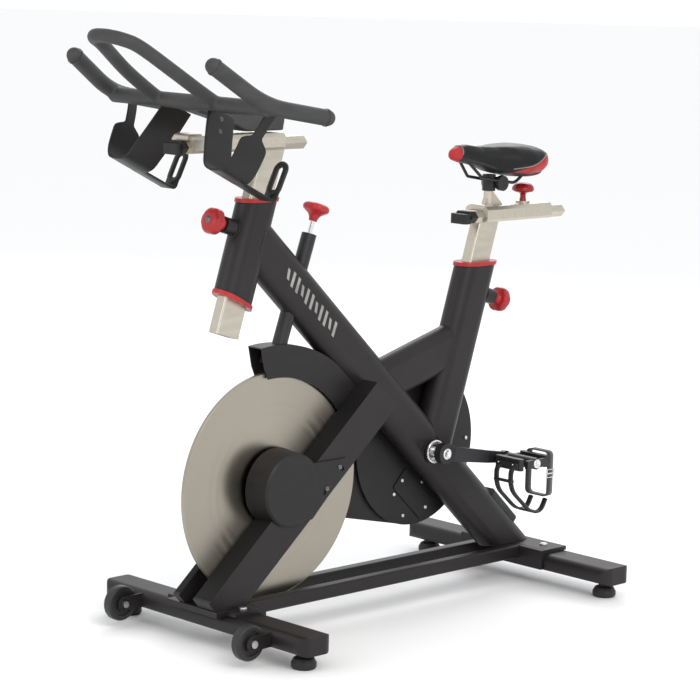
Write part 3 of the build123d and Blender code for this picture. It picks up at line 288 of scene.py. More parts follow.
def turned_disc(name, centre, colour=(0.385, 0.355, 0.300)):
    """Polished steel turned on a lathe: fine rings about the axle and a radial sheen."""
    material, tree, surface = shader(name)
    where = node(tree, "ShaderNodeTexCoord")
    offset = node(tree, "ShaderNodeVectorMath", operation="SUBTRACT")
    offset.inputs[1].default_value = centre
    tree.links.new(where.outputs["Object"], offset.inputs[0])
    flatten = node(tree, "ShaderNodeVectorMath", operation="MULTIPLY")
    flatten.inputs[1].default_value = (1, 0, 1)
    tree.links.new(offset.outputs["Vector"], flatten.inputs[0])
    reach = node(tree, "ShaderNodeVectorMath", operation="LENGTH")
    tree.links.new(flatten.outputs["Vector"], reach.inputs[0])
    ring = node(tree, "ShaderNodeTexNoise", noise_dimensions="1D")
    ring.inputs["Scale"].default_value = 900
    ring.inputs["Detail"].default_value = 3
    tree.links.new(reach.outputs["Value"], ring.inputs["W"])
    wide = node(tree, "ShaderNodeTexNoise", noise_dimensions="1D")
    wide.inputs["Scale"].default_value = 90
    tree.links.new(reach.outputs["Value"], wide.inputs["W"])
    body = ramp(tree, ring.outputs["Fac"], tuple(c * 0.9 for c in colour), colour)
    haze = ramp(tree, noise_at(tree, 11, 5), (0, 0, 0), (1, 1, 1), (0.52, 0.8))
    body = mix(tree, math(tree, "MULTIPLY", haze, 0.14), body, tuple(c * 0.8 for c in colour))
    shine = math(tree, "ADD", 0.28, math(tree, "MULTIPLY", wide.outputs["Fac"], 0.12))
    finish_surface(tree, surface, body, shine, 1.0)
    surface.inputs["Anisotropic"].default_value = 0.75
    around = node(tree, "ShaderNodeTangent", direction_type="RADIAL", axis="Y")
    tree.links.new(around.outputs["Tangent"], surface.inputs["Tangent"])
    add_bump(tree, surface, ring.outputs["Fac"], 0.05, 0.0003)
    return material


def saddle_mask(tree):
    """1 on the saddle's red nose and on its red rear flanks."""
    where = node(tree, "ShaderNodeTexCoord")
    split = node(tree, "ShaderNodeSeparateXYZ")
    tree.links.new(where.outputs["Object"], split.inputs["Vector"])
    x, y, z = (split.outputs[key] for key in "XYZ")
    start_x, start_z = FLANK_SEAM_START
    nose = math(tree, "GREATER_THAN", x, NOSE_SEAM_X)
    seam = math(tree, "MULTIPLY", math(tree, "SUBTRACT", start_x, x), FLANK_SEAM_RISE)
    seam = math(tree, "ADD", seam, start_z)
    flank = math(tree, "LESS_THAN", z, seam)
    behind = math(tree, "LESS_THAN", x, start_x)
    beside = math(tree, "GREATER_THAN", math(tree, "ABSOLUTE", y, 0.0), FLANK_FROM)
    return math(tree, "MAXIMUM", nose, math(tree, "MULTIPLY", math(tree, "MULTIPLY", flank, behind), beside))


def leather(name, colour, rough=0.46, grain=420, second=None):
    """Stitched synthetic leather: pebble grain with creases and a soft sheen."""
    material, tree, surface = shader(name)
    where = node(tree, "ShaderNodeTexCoord")
    cells = node(tree, "ShaderNodeTexVoronoi", feature="DISTANCE_TO_EDGE")
    cells.inputs["Scale"].default_value = grain
    tree.links.new(where.outputs["Object"], cells.inputs["Vector"])
    crease = ramp(tree, cells.outputs["Distance"], (0, 0, 0), (1, 1, 1), (0.0, 0.14))
    cloud = noise_at(tree, 18, 4)
    body = ramp(tree, cloud, tuple(c * 0.8 for c in colour), tuple(c * 1.25 for c in colour))
    # The creases are painted darker: painted shade in the grain's hollows, on top of the bump.
    body = mix(tree, math(tree, "MULTIPLY", math(tree, "SUBTRACT", 1.0, crease), 0.35), body,
               tuple(c * 0.45 for c in colour))
    if second:
        panel = ramp(tree, cloud, tuple(c * 0.85 for c in second), tuple(min(1, c * 1.12) for c in second))
        # The red panel's creases are painted darker too, as painted shade.
        panel = mix(tree, math(tree, "MULTIPLY", math(tree, "SUBTRACT", 1.0, crease), 0.30), panel,
                    tuple(c * 0.6 for c in second))
        body = mix(tree, saddle_mask(tree), body, panel)
    finish_surface(tree, surface, body, math(tree, "ADD", rough - 0.08, math(tree, "MULTIPLY", cloud, 0.16)))
    surface.inputs["Specular IOR Level"].default_value = 0.26
    surface.inputs["Sheen Weight"].default_value = 0.03
    add_bump(tree, surface, crease, 0.22, 0.0005)
    return material


def paint(material, *names):
    """Gives CAD nodes a material."""
    for name in names:
        slots = NODES[name].data.materials
        slots.clear()
        slots.append(material)


def dress_cad():
    """A detailed material for every CAD node that stays in view."""
    charcoal = powder_coat("charcoal_coat", CHARCOAL)
    base_coat = powder_coat("base_coat", (0.0122, 0.0101, 0.0107), 0.46)
    paint(charcoal, "main_tube", "head_tube", "seat_tube", "top_brace", "fork_leg_left", "fork_leg_right")
    paint(base_coat, "rail_left", "rail_right", "front_plate", "rear_plate", "front_stabiliser",
          "rear_stabiliser")
    paint(moulded("step_rubber", (0.035, 0.036, 0.038), 0.62, 700, 0.35), "step_pad")
    paint(moulded("foot_rubber", (0.018, 0.018, 0.019), 0.55), "foot_front_left", "foot_front_right",
          "foot_rear_left", "foot_rear_right")
    paint(moulded("wheel_urethane", (0.02, 0.02, 0.021), 0.4), "wheel_left", "wheel_right")
    paint(metal("zinc_bolt", (0.66, 0.66, 0.64), 0.3, scale=300), "frame_bolts", "guard_screws")
    axle_x, axle_z = axis_of("flywheel_axle")
    paint(turned_disc("turned_steel", (axle_x, 0, axle_z)), "flywheel")
    paint(metal("axle_steel", (0.58, 0.58, 0.57), 0.3), "flywheel_axle", "crank_axle", "pedal_axles")
    paint(metal("bearing_steel", (0.70, 0.70, 0.70), 0.22), "bearings")
    paint(metal("pulley_alloy", (0.60, 0.61, 0.62), 0.36), "flywheel_pulley", "crank_pulley")
    paint(moulded("belt_rubber", (0.02, 0.02, 0.02), 0.7), "drive_belt")
    paint(powder_coat("crank_black", (0.018, 0.018, 0.020), 0.3), "crank_left", "crank_right")
    paint(moulded("pedal_nylon", (0.018, 0.018, 0.019), 0.36, 900, 0.25), "pedal_left", "pedal_right")
    cover = moulded("cover_abs", (0.0104, 0.0089, 0.0091), 0.48, 1100, 0.22)
    paint(cover, "hub_cover", "brake_shroud", "guard_inner", "guard_outer", "inspection_cover",
          "handlebar_rail_cap", "seat_rail_cap", "brake_pad")
    paint(powder_coat("brake_tube_black", (0.018, 0.018, 0.020), 0.34), "brake_tube")
    paint(metal("chrome_rod", (0.82, 0.82, 0.82), 0.12), "brake_rod")
    red = moulded("red_nylon", (0.33, 0.016, 0.019), 0.34, 1300, 0.08, 0.0016)
    paint(red, "post_bushings")
    alloy = metal("drawn_alloy", (0.555, 0.515, 0.435), 0.34, (0.04, 1, 0.2), 420)
    paint(alloy, "handlebar_post", "seat_post")
    paint(metal("cast_alloy", (0.565, 0.525, 0.445), 0.40, (1, 1, 1), 220), "handlebar_slider", "seat_slider")
    paint(powder_coat("clamp_black", (0.016, 0.016, 0.017), 0.3), "saddle_clamp", "saddle_rails")


def axis_of(name):
    """X and Z of a node's centre."""
    low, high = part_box(name)
    return (low.x + high.x) / 2, (low.z + high.z) / 2


# ------------------------------------------------------------------ mesh helpers
def add_piece(name, build, body, material, covers=(), smooth=True):
    """An object from a bmesh in metres, tied to its body, with its material, hiding the CAD nodes it stands
    for.
    """
    mesh = bpy.data.meshes.new(name)
    bmesh.ops.recalc_face_normals(build, faces=build.faces)
    build.to_mesh(mesh)
    build.free()
    if smooth:
        mesh.polygons.foreach_set("use_smooth", [True] * len(mesh.polygons))
    made = bpy.data.objects.new(name, mesh)
    bpy.context.scene.collection.objects.link(made)
    mesh.materials.append(material)
    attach(made, body)
    if covers:
        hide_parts(*covers)
    return made


def mm(*numbers):
    """A point given in millimetres."""
    return Vector(numbers) / 1000


def smooth_path(points, steps=8):
    """A Catmull-Rom line through the points."""
    line = []
    ends = [points[0] * 2 - points[1]] + list(points) + [points[-1] * 2 - points[-2]]
    for a, b, c, d in zip(ends, ends[1:], ends[2:], ends[3:]):
        for k in range(steps):
            t = k / steps
            line.append(0.5 * (2 * b + (c - a) * t + (2 * a - 5 * b + 4 * c - d) * t * t
                               + (3 * b - a - 3 * c + d) * t ** 3))
    return line + [points[-1]]


def bent_path(points, reach, steps=7):
    """Straight runs whose corners are eased over reach either side."""
    line = [points[0]]
    for before, corner, after in zip(points, points[1:], points[2:]):
        start = corner + (before - corner).normalized() * min(reach, (before - corner).length / 2)
        end = corner + (after - corner).normalized() * min(reach, (after - corner).length / 2)
        for k in range(steps + 1):
            t = k / steps
            line.append(start * (1 - t) ** 2 + corner * 2 * t * (1 - t) + end * t * t)
    return line + [points[-1]]


def sweep(build, path, outline, closed=False, round_ends=0.0, across=None):
    """A skin along the path; outline is (across, up) pairs, and across may be held to a direction."""
    def ring(place, along, scale=1.0):
        side = across.copy() if across else along.cross(Vector((0, 0, 1)))
        if side.length < 0.05:
            side = along.cross(Vector((1, 0, 0)))
        side.normalize()
        up = side.cross(along).normalized()
        return [build.verts.new(place + (side * a + up * b) * scale) for a, b in outline]

    count = len(path)
    rings = []
    for k, place in enumerate(path):
        before = path[k - 1] if k or closed else path[0]
        after = path[(k + 1) % count] if k + 1 < count or closed else path[-1]
        along = (after - before).normalized()
        if k == 0 and round_ends and not closed:
            for turn in (75, 50, 25):
                rings.append(ring(place - along * round_ends * sin(radians(turn)), along, cos(radians(turn))))
        rings.append(ring(place, along))
        if k == count - 1 and round_ends and not closed:
            for turn in (25, 50, 75):
                rings.append(ring(place + along * round_ends * sin(radians(turn)), along, cos(radians(turn))))
    pairs = list(zip(rings, rings[1:])) + ([(rings[-1], rings[0])] if closed else [])
    for low, high in pairs:
        for k in range(len(outline)):
            build.faces.new((low[k - 1], low[k], high[k], high[k - 1]))
    if not closed:
        build.faces.new(rings[0])
        build.faces.new(list(reversed(rings[-1])))


def circle(radius, sides):
    """A round outline."""
    return [(radius * cos(2 * pi * k / sides), radius * sin(2 * pi * k / sides)) for k in range(sides)]


def lathe(build, centre, axis, profile, sides=72, lobes=0, depth=0.0, lobe_from=0.0):
    """Turns (radius, height) pairs about an axis through centre. Lobes scallop radii over lobe_from."""
    axis = axis.normalized()
    side = axis.cross(Vector((0, 1, 0)))
    if side.length < 0.1:
        side = axis.cross(Vector((1, 0, 0)))
    side.normalize()
    other = axis.cross(side)
    rings = []
    for radius, height in profile:
        if radius < 1e-6:
            rings.append([build.verts.new(centre + axis * height)])
            continue
        ring = []
        for k in range(sides):
            turn = 2 * pi * k / sides
            r = radius
            if lobes and radius > lobe_from:
                r -= depth * (0.5 + 0.5 * cos(lobes * turn)) ** 2 * (radius - lobe_from) / radius * 2
            ring.append(build.verts.new(centre + axis * height + (side * cos(turn) + other * sin(turn)) * r))
        rings.append(ring)
    for low, high in zip(rings, rings[1:]):
        if len(low) == 1 and len(high) == 1:
            continue
        for k in range(sides):
            if len(low) == 1:
                build.faces.new((low[0], high[k], high[k - 1]))
            elif len(high) == 1:
                build.faces.new((low[k - 1], low[k], high[0]))
            else:
                build.faces.new((low[k - 1], low[k], high[k], high[k - 1]))


def remesh(made, voxel, smoothing, factor=0.5):
    """Welds a piece's crossing skins into one, then evens it."""
    change = made.modifiers.new("weld", "REMESH")
    change.mode = "VOXEL"
    change.voxel_size = voxel
    change.use_smooth_shade = True
    even = made.modifiers.new("even", "SMOOTH")
    even.iterations = smoothing
    even.factor = factor
    apply_modifiers(made)


def apply_modifiers(made):
    """Bakes a piece's modifiers into its mesh."""
    graph = bpy.context.evaluated_depsgraph_get()
    baked = bpy.data.meshes.new_from_object(made.evaluated_get(graph))
    materials = list(made.data.materials)
    made.modifiers.clear()
    made.data = baked
    baked.materials.clear()
    for material in materials:
        baked.materials.append(material)
    baked.polygons.foreach_set("use_smooth", [True] * len(baked.polygons))


# ------------------------------------------------------------------ handlebar
HORN_TIP = (562, 210, 1194)
HORN_BEND = (448, 233, 1117)
HORN_TAIL = (296, 246, 1092)
CROSS_AT = (442, 1112)    # X and Z
LOOP_PATH = ((442, 88, 1112), (492, 83, 1142), (545, 76, 1176), (614, 57, 1223), (645, 43, 1237),
             (659, 22, 1242), (661, 0, 1243))


def mirrored(place, side):
    """A point of the left half, in metres, on the side asked for."""
    return mm(place[0], side * place[1], place[2])


def add_handlebar():
    """Horns, grips, cross tube, loop and stem web under one dipped rubber skin."""
    build = bmesh.new()
    for side in (1, -1):
        horn = [mirrored(place, side) for place in (HORN_TIP, HORN_BEND, HORN_TAIL)]
        sweep(build, bent_path(horn, 0.05), circle(0.0168, 24), round_ends=0.0168)
    sweep(build, [mm(CROSS_AT[0], y, CROSS_AT[1]) for y in (-233, 0, 233)], circle(0.0160, 24))
    left = [mm(*place) for place in LOOP_PATH]
    right = [Vector((place.x, -place.y, place.z)) for place in reversed(left[:-1])]
    sweep(build, smooth_path(left + right, 6), circle(0.0140, 24), round_ends=0.01)
    web = [(452, 1120), (454, 1098), (330, 1062), (302, 1049.5), (205, 1049.5), (200, 1078),
           (300, 1092)]
    faces = [[build.verts.new(mm(x, y, z)) for x, z in web] for y in (-25, 25)]
    build.faces.new(faces[0])
    build.faces.new(list(reversed(faces[1])))
    for k in range(len(web)):
        build.faces.new((faces[0][k - 1], faces[0][k], faces[1][k], faces[1][k - 1]))
    skin = moulded("dipped_rubber", (0.040, 0.0385, 0.0385), 0.58, 1400, 0.25)
    made = add_piece("handlebar_skin", build, "handlebar_carriage", skin, ("handlebar",))
    remesh(made, 0.0026, 9, 0.6)
    ends = bmesh.new()
    lip = [(0.0172, -0.006), (0.0178, -0.005), (0.0178, -0.002), (0.0172, -0.001)]
    for side in (1, -1):
        for end in (HORN_TAIL, HORN_TIP):
            place = mirrored(end, side)
            lathe(ends, place, (place - mirrored(HORN_BEND, side)).normalized(), lip, 48)
    add_piece("grip_end_rings", ends, "handlebar_carriage", skin)


# ------------------------------------------------------------------ saddle
SADDLE = ((-315, 9, 984, 969), (-320, 15, 991, 965), (-334, 20, 997, 963), (-360, 24, 998, 960),
          (-400, 33, 992, 951), (-440, 50, 992, 938), (-480, 70, 994, 930), (-520, 78, 995, 923),
          (-555, 76, 993, 925), (-575, 64, 988, 932), (-584, 46, 979, 944))    # X, half width, top, foot


SADDLE_SIDES = 40
DRAW_IN = 0.12           # how far the sides come in under the pad
SWELL_FRAMES = 20
SWELL_PRESSURE = 4.0
SWELL_CAP = 0.004        # the furthest that a point of the pad may move


def saddle_ring(build, station, shrink):
    """One cross-section: a crowned top, full shoulders and sides that draw in under the pad."""
    x, wide, top, foot = station
    middle = (top + foot) / 2
    ring = []
    for k in range(SADDLE_SIDES):
        turn = 2 * pi * k / SADDLE_SIDES
        c, s = cos(turn), sin(turn)
        across = (wide - shrink) * (abs(c) ** 0.62) * (1 if c > 0 else -1)
        if s < 0:
            across *= 1 - DRAW_IN * (-s) ** 1.6
        high = (top - middle - shrink) if s > 0 else (middle - foot - shrink)
        ring.append(build.verts.new(mm(x, across, middle + high * abs(s) ** 0.85 * (1 if s > 0 else -1))))
    return ring


def saddle_form(build, stations, shrink=0.0):
    """A closed skin through the cross-sections."""
    rings = [saddle_ring(build, station, shrink) for station in stations]
    for low, high in zip(rings, rings[1:]):
        for k in range(len(low)):
            build.faces.new((low[k - 1], low[k], high[k], high[k - 1]))
    for ring, x in ((rings[0], stations[0][0] + 2), (rings[-1], stations[-1][0] - 3)):
        middle = sum((v.co for v in ring), Vector()) / len(ring)
        tip = build.verts.new((x / 1000, 0, middle.z))
        for k in range(len(ring)):
            build.faces.new((ring[k - 1], ring[k], tip))


def swell(made):
    """Lets the padded form swell as cloth, with each point's move capped."""
    start = [v.co.copy() for v in made.data.vertices]
    cloth = made.modifiers.new("cloth", "CLOTH")
    cloth.settings.use_pressure = True
    cloth.settings.uniform_pressure_force = SWELL_PRESSURE
    cloth.settings.effector_weights.gravity = 0
    cloth.settings.quality = 5
    cloth.point_cache.frame_start = 1
    cloth.point_cache.frame_end = SWELL_FRAMES
    scene = bpy.context.scene
    for number in range(1, SWELL_FRAMES + 1):
        scene.frame_set(number)
    graph = bpy.context.evaluated_depsgraph_get()
    moved = [v.co.copy() for v in made.evaluated_get(graph).data.vertices]
    made.modifiers.remove(cloth)
    scene.frame_set(1)
    for vertex, was, now in zip(made.data.vertices, start, moved):
        step = now - was
        if step.length > SWELL_CAP:
            step *= SWELL_CAP / step.length
        vertex.co = was + step


def seam_points(tree, count, make):
    """Points on the pad's skin nearest to a drawn line."""
    line = []
    for k in range(count + 1):
        place, normal, _, _ = tree.find_nearest(make(k / count))
        line.append((place, normal))
    return line


def add_saddle():
    """The padded saddle with its hard base, piping and stitching."""
    build = bmesh.new()
    saddle_form(build, SADDLE, shrink=2.0)
    cover = leather("saddle_cover", (0.0042, 0.0037, 0.0040), 0.44, 420, (0.40, 0.022, 0.023))
    pad = add_piece("saddle_pad", build, "saddle_set", cover, ("saddle",))
    remesh(pad, 0.0045, 2)
    swell(pad)
    rounder = pad.modifiers.new("rounder", "SUBSURF")
    rounder.levels = rounder.render_levels = 1
    apply_modifiers(pad)
    skin = BVHTree.FromObject(pad, bpy.context.evaluated_depsgraph_get())
    start_x, start_z = FLANK_SEAM_START

    def nose(t):
        return Vector((NOSE_SEAM_X, 0.03 * cos(pi * t), 0.978 + 0.03 * sin(pi * t)))

    def flank(t, side):
        x = start_x - 0.004 - 0.128 * t
        return Vector((x, side * (0.075 - 0.02 * t * t), start_z + FLANK_SEAM_RISE * (start_x - x)))

    lines = [seam_points(skin, 40, nose)]
    for side in (1, -1):
        lines.append(seam_points(skin, 40, lambda t, side=side: flank(t, side)))
    piping = bmesh.new()
    stitches = bmesh.new()
    for line in lines:
        proud = [place + normal * 0.0004 for place, normal in line]
        sweep(piping, proud, circle(0.0013, 8), round_ends=0.001)
        for k in range(1, len(line) - 2, 2):
            (a, out_of_skin), (b, _) = line[k], line[k + 1]
            along = (b - a).normalized()
            for way in (1, -1):
                off = along.cross(out_of_skin).normalized() * 0.0042 * way
                ends = []
                for place in (a + off, b + off - (b - a) * 0.15):
                    spot, normal, _, _ = skin.find_nearest(place)
                    ends.append(spot + normal * 0.0002)
                sweep(stitches, ends, circle(0.0005, 6), round_ends=0.0004)
    grey = moulded("piping_grey", (0.20, 0.19, 0.185), 0.5, 1600, 0.1)
    add_piece("saddle_piping", piping, "saddle_set", grey)
    thread = moulded("thread_black", (0.05, 0.05, 0.052), 0.6, 2400, 0.4)
    add_piece("saddle_stitching", stitches, "saddle_set", thread)
    shell = bmesh.new()
    low = [(x - 1, wide * 0.70, foot + 14, foot - 1.0) for x, wide, _, foot in SADDLE[2:-1]]
    saddle_form(shell, low)
    hard = moulded("saddle_shell", (0.016, 0.016, 0.017), 0.40, 900, 0.2)
    base = add_piece("saddle_shell", shell, "saddle_set", hard)
    base.modifiers.new("rounder", "SUBSURF").levels = 1


# ------------------------------------------------------------------ bottle cages
CAGE_AT = (407, 1105)
CAGE_TILT = radians(26)
CAGE_ROUTE = ((65, -9), (84, -60), (104, -108), (116, -133), (132, -142), (152, -143), (172, -140),
              (184, -122), (189, -96), (192, -66), (196, -46), (204, -20), (212, -2))    # Y and up the plate


def cage_point(side, y, up, fore):
    """A point in the cage's slanted frame: across the bike, up the plate and along the bottle."""
    x = CAGE_AT[0] - up * sin(CAGE_TILT) + fore * cos(CAGE_TILT)
    z = CAGE_AT[1] + up * cos(CAGE_TILT) + fore * sin(CAGE_TILT)
    return mm(x, side * y, z)


def strip(build, rows):
    """A skin over rows of points."""
    grid = [[build.verts.new(place) for place in row] for row in rows]
    for low, high in zip(grid, grid[1:]):
        for k in range(1, len(low)):
            build.faces.new((low[k - 1], low[k], high[k], high[k - 1]))


def add_cage(side, name):
    """A moulded cage: wide inner plate, round bottom, outer lip, narrow strap and slotted tab."""
    fine = smooth_path([Vector((y, up, 0)) for y, up in CAGE_ROUTE], 5)
    build = bmesh.new()
    rows = []
    for k, place in enumerate(fine):
        share = k / (len(fine) - 1)
        if share < 0.72:
            half = 37 + 1.5 * sin(pi * min(1, share / 0.3))
        elif share < 0.80:
            half = 12 + 25 * (0.5 + 0.5 * cos(pi * (share - 0.72) / 0.08))
        else:
            half = 12
        rows.append([cage_point(side, place.x, place.y, half * t / 6) for t in range(-6, 7)])
    strip(build, rows)
    plastic = moulded(name + "_nylon", (0.0078, 0.0074, 0.0077), 0.42, 1100, 0.2)
    shell = add_piece(name + "_shell", build, "handlebar_carriage", plastic, (name,))
    thick = shell.modifiers.new("thick", "SOLIDIFY")
    thick.thickness, thick.offset = 0.0038, 0
    edge = shell.modifiers.new("edge", "BEVEL")
    edge.width, edge.segments, edge.limit_method = 0.0014, 3, "ANGLE"
    build = bmesh.new()
    arm = [cage_point(side, 151, -142, fore) for fore in (-30, -60, -90, -108, -119)]
    arm += [cage_point(side, 151, up, -124) for up in (-136, -128, -118)]
    flat = [(-0.018, -0.0018), (0.018, -0.0018), (0.0195, 0), (0.018, 0.0018), (-0.018, 0.0018),
            (-0.0195, 0)]
    sweep(build, smooth_path(arm, 4), flat, across=Vector((0, 1, 0)), round_ends=0.001)
    loop = []
    for k in range(40):
        turn = 2 * pi * k / 40
        centre_up = -96 + (20 if sin(turn) > 0 else -16)
        loop.append(cage_point(side, 151 + 13.5 * cos(turn), centre_up + 13.5 * sin(turn), -124))
    normal = Vector((cos(CAGE_TILT), 0, sin(CAGE_TILT)))
    rib = [(-0.0022, -0.006), (0.0022, -0.006), (0.0026, 0), (0.0022, 0.006), (-0.0022, 0.006),
           (-0.0026, 0)]
    sweep(build, loop, rib, closed=True, across=normal)
    add_piece(name + "_tab", build, "handlebar_carriage", plastic)
    build = bmesh.new()
    for up in (-26, -52):
        spot = cage_point(side, 65 + (-up - 9) * 0.37 + 2.0, up, 0)
        lathe(build, spot, Vector((0, side, 0)) + Vector((0, 0, 0.36)),
              [(0, 0.0026), (0.0022, 0.0026), (0.0022, 0.0012), (0.0045, 0.0012), (0.0052, 0.0004),
               (0.0052, -0.001)], 28)
    add_piece(name + "_screws", build, "handlebar_carriage", MATERIAL["screw"])


# ------------------------------------------------------------------ knobs
LEAN = radians(17)
POST_FRONT = Vector((cos(LEAN), 0, sin(LEAN)))
PINS = (("head_pin", (254, 905), 64, 45, POST_FRONT),
        ("seat_pin", (-406.75, 731), 54, 50.5, -POST_FRONT))    # tube top, drop, half depth, way out
BRAKE_TOP = (103, 0, 829)
BRAKE_FOOT = (182, 0, 600)


def soft_profile(pairs, steps=4):
    """A lathe profile eased through (radius, height) pairs in millimetres."""
    eased = smooth_path([Vector((r, 0, h)) for r, h in pairs], steps)
    return [(max(0.0, place.x) / 1000, place.z / 1000) for place in eased]


def pin_centre(top, drop):
    """The point on the tube's middle line, drop below its top."""
    return mm(top[0] + drop * tan(LEAN), 0, top[1] - drop)


def add_knobs():
    """The red knobs with soft lobes, their caps and their steel pins."""
    for name, top, drop, half, forward in PINS:
        centre = pin_centre(top, drop)
        face = half + 29.5
        build = bmesh.new()
        pairs = [(12, face), (12.4, face + 4), (12.6, face + 10), (17, face + 14.5), (25, face + 17),
                 (28, face + 22), (28, face + 29), (26.5, face + 35), (21, face + 40), (12, face + 42),
                 (7.6, face + 42)]
        lathe(build, centre, forward, [(0.004, face / 1000)] + soft_profile(pairs), 96, 6, 0.0022, 0.019)
        add_piece(name + "_knob", build, name + "_knob", MATERIAL["red"], (name,))
        build = bmesh.new()
        cap = [(7.6, face + 42.2), (7.2, face + 42.8), (4, face + 43.3), (0, face + 43.5)]
        lathe(build, centre, forward, [(r / 1000, h / 1000) for r, h in cap], 48)
        stem = [(0.0, 0.032), (0.0045, 0.0325), (0.00495, 0.034), (0.00495, (face + 1) / 1000)]
        lathe(build, centre, forward, stem, 32)
        add_piece(name + "_cap", build, name + "_knob", MATERIAL["screw"])
    up = (Vector(BRAKE_TOP) - Vector(BRAKE_FOOT)).normalized()
    base = mm(*BRAKE_TOP) + up * 0.028
    build = bmesh.new()
    pairs = [(8.5, 0), (9.2, 3), (10.5, 8), (14.5, 14), (22, 19), (27.5, 23), (29, 27.5), (27.5, 32.5),
             (22, 36.5), (13, 39), (0, 39.8)]
    lathe(build, base, up, [(0.0052, 0.0)] + soft_profile(pairs), 96, 8, 0.0016, 0.021)
    add_piece("brake_knob_head", build, "brake_control", MATERIAL["red"], ("brake_knob",))
    low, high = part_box("seat_knob")
    base = Vector(((low.x + high.x) / 2, 0, low.z))
    build = bmesh.new()
    pairs = [(8, 8.1), (7.2, 12), (6.4, 17), (7, 23), (13, 26.5), (21, 28.5), (25, 32), (24.6, 38),
             (20, 44), (12, 48), (0, 49)]
    profile = [(0.0049, 0.0), (0.0049, 0.008)] + soft_profile(pairs)
    lathe(build, base, Vector((0, 0, 1)), profile, 96, 7, 0.0014, 0.018)
    add_piece("seat_knob_head", build, "seat_lock", MATERIAL["red"], ("seat_knob",))


# ------------------------------------------------------------------ pedals
def add_toe_clip(side, name, body):
    """A sprung nylon toe clip with a riveted bridge, and a woven strap through its buckle."""
    low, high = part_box("pedal_" + name)
    cx, cz = (low.x + high.x) * 500, (low.z + high.z) * 500
    inner = min(abs(low.y), abs(high.y)) * 1000
    front = cx + 47
    build = bmesh.new()
    points = [mm(front + 3, 0, cz - 6), mm(front + 15, 0, cz - 13), mm(front + 11, 0, cz - 56),
              mm(cx - 8, 0, cz - 113), mm(cx - 42, 0, cz - 117), mm(cx - 57, 0, cz - 90)]
    band = [(-0.006, -0.0018), (-0.0048, -0.0026), (0.0048, -0.0026), (0.006, -0.0018), (0.006, 0.0018),
            (0.0048, 0.0026), (-0.0048, 0.0026), (-0.006, 0.0018)]
    for y in (20, 62):
        route = [place + mm(0, side * (inner + y), 0) for place in points]
        sweep(build, bent_path(route, 0.022, 8), band, across=Vector((0, 1, 0)), round_ends=0.002)
    for x, z in ((front + 12.5, cz - 36), (cx - 26, cz - 115.5)):
        ends = [mm(x, side * (inner + y), z) for y in (16, 30, 52, 66)]
        sweep(build, ends, [(a * 0.9, b) for a, b in band], round_ends=0.002)
    plate = [mm(front + 2.5, side * (inner + y), cz - 3) for y in (10, 24, 58, 72)]
    tall = [(-0.0025, -0.0075), (0.0025, -0.0075), (0.0025, 0.0075), (-0.0025, 0.0075)]
    sweep(build, plate, tall)
    made = add_piece("toe_clip_%s_cage" % name, build, body, MATERIAL["nylon"],
                     ("toe_clip_" + name,))
    edge = made.modifiers.new("edge", "BEVEL")
    edge.width, edge.segments, edge.limit_method = 0.0008, 2, "ANGLE"
    build = bmesh.new()
    x = cx - 57.5
    around = ((9.5, 18.5), (72.5, 18.5), (72.5, -82.5), (9.5, -82.5))
    corners = [mm(x, side * (inner + a), cz + b) for a, b in around]
    middle = (corners[0] + corners[1]) / 2
    ring = bent_path([middle] + corners[1:] + [corners[0], middle], 0.012, 6)[:-1]
    tape = [(-0.0092, -0.0011), (0.0092, -0.0011), (0.0094, 0), (0.0092, 0.0011), (-0.0092, 0.0011),
            (-0.0094, 0)]
    sweep(build, ring, tape, closed=True, across=Vector((1, 0, 0)))
    add_piece("toe_strap_" + name, build, body, MATERIAL["webbing"])
    build = bmesh.new()
    spot = mm(x, side * (inner + 74), cz - 30)
    frame_loop = [spot + mm(a, 0, b) for a, b in ((-11.5, -9), (11.5, -9), (11.5, 9), (-11.5, 9))]
    sweep(build, frame_loop, circle(0.0013, 8), closed=True, across=Vector((0, 1, 0)))
    sweep(build, [spot + mm(-11, 0, 0), spot + mm(11, 0, 0)], circle(0.0017, 12), round_ends=0.001)
    for y in (20, 62):
        for z in (0.0, -7.0):
            lathe(build, mm(front + 5, side * (inner + y - 4), cz + z), Vector((1, 0, 0)),
                  [(0.0022, 0), (0.0021, 0.0008), (0.0012, 0.0014), (0, 0.0015)], 20)
    add_piece("toe_clip_%s_metal" % name, build, body, MATERIAL["chrome"])
    build = bmesh.new()
    outer = side * (inner + 84)
    lathe(build, mm(cx, outer, cz), Vector((0, side, 0)),
          [(0.0105, -0.002), (0.0105, 0.0012), (0.0095, 0.0022), (0.0062, 0.0026), (0.0055, 0.0018),
           (0, 0.0018)], 40)
    add_piece("pedal_%s_cap" % name, build, body, MATERIAL["chrome"])


# ------------------------------------------------------------------ small fittings
CRANK_AT = (-258, 330)    # X and Z
BEAD_RADIUS = 0.0024
BEAD_RIPPLES = 60


def screw_head(build, place, axis, radius, high):
    """A pan head with a round socket."""
    profile = [(radius, -0.0004), (radius, high * 0.45), (radius * 0.86, high * 0.85),
               (radius * 0.62, high), (radius * 0.46, high), (radius * 0.44, high * 0.2), (0, high * 0.15)]
    lathe(build, place, axis, profile, 30)


def weld_bead(build, centre, axis, radius):
    """A rippled weld bead round a boss."""
    axis = axis.normalized()
    side = axis.cross(Vector((0, 1, 0))).normalized()
    other = axis.cross(side)
    path = []
    for k in range(BEAD_RIPPLES * 2):
        turn = pi * k / BEAD_RIPPLES
        ripple = 0.00035 * (1 if k % 2 else -1)
        path.append(centre + (side * cos(turn) + other * sin(turn)) * (radius + ripple))
    sweep(build, path, circle(BEAD_RADIUS, 8), closed=True)


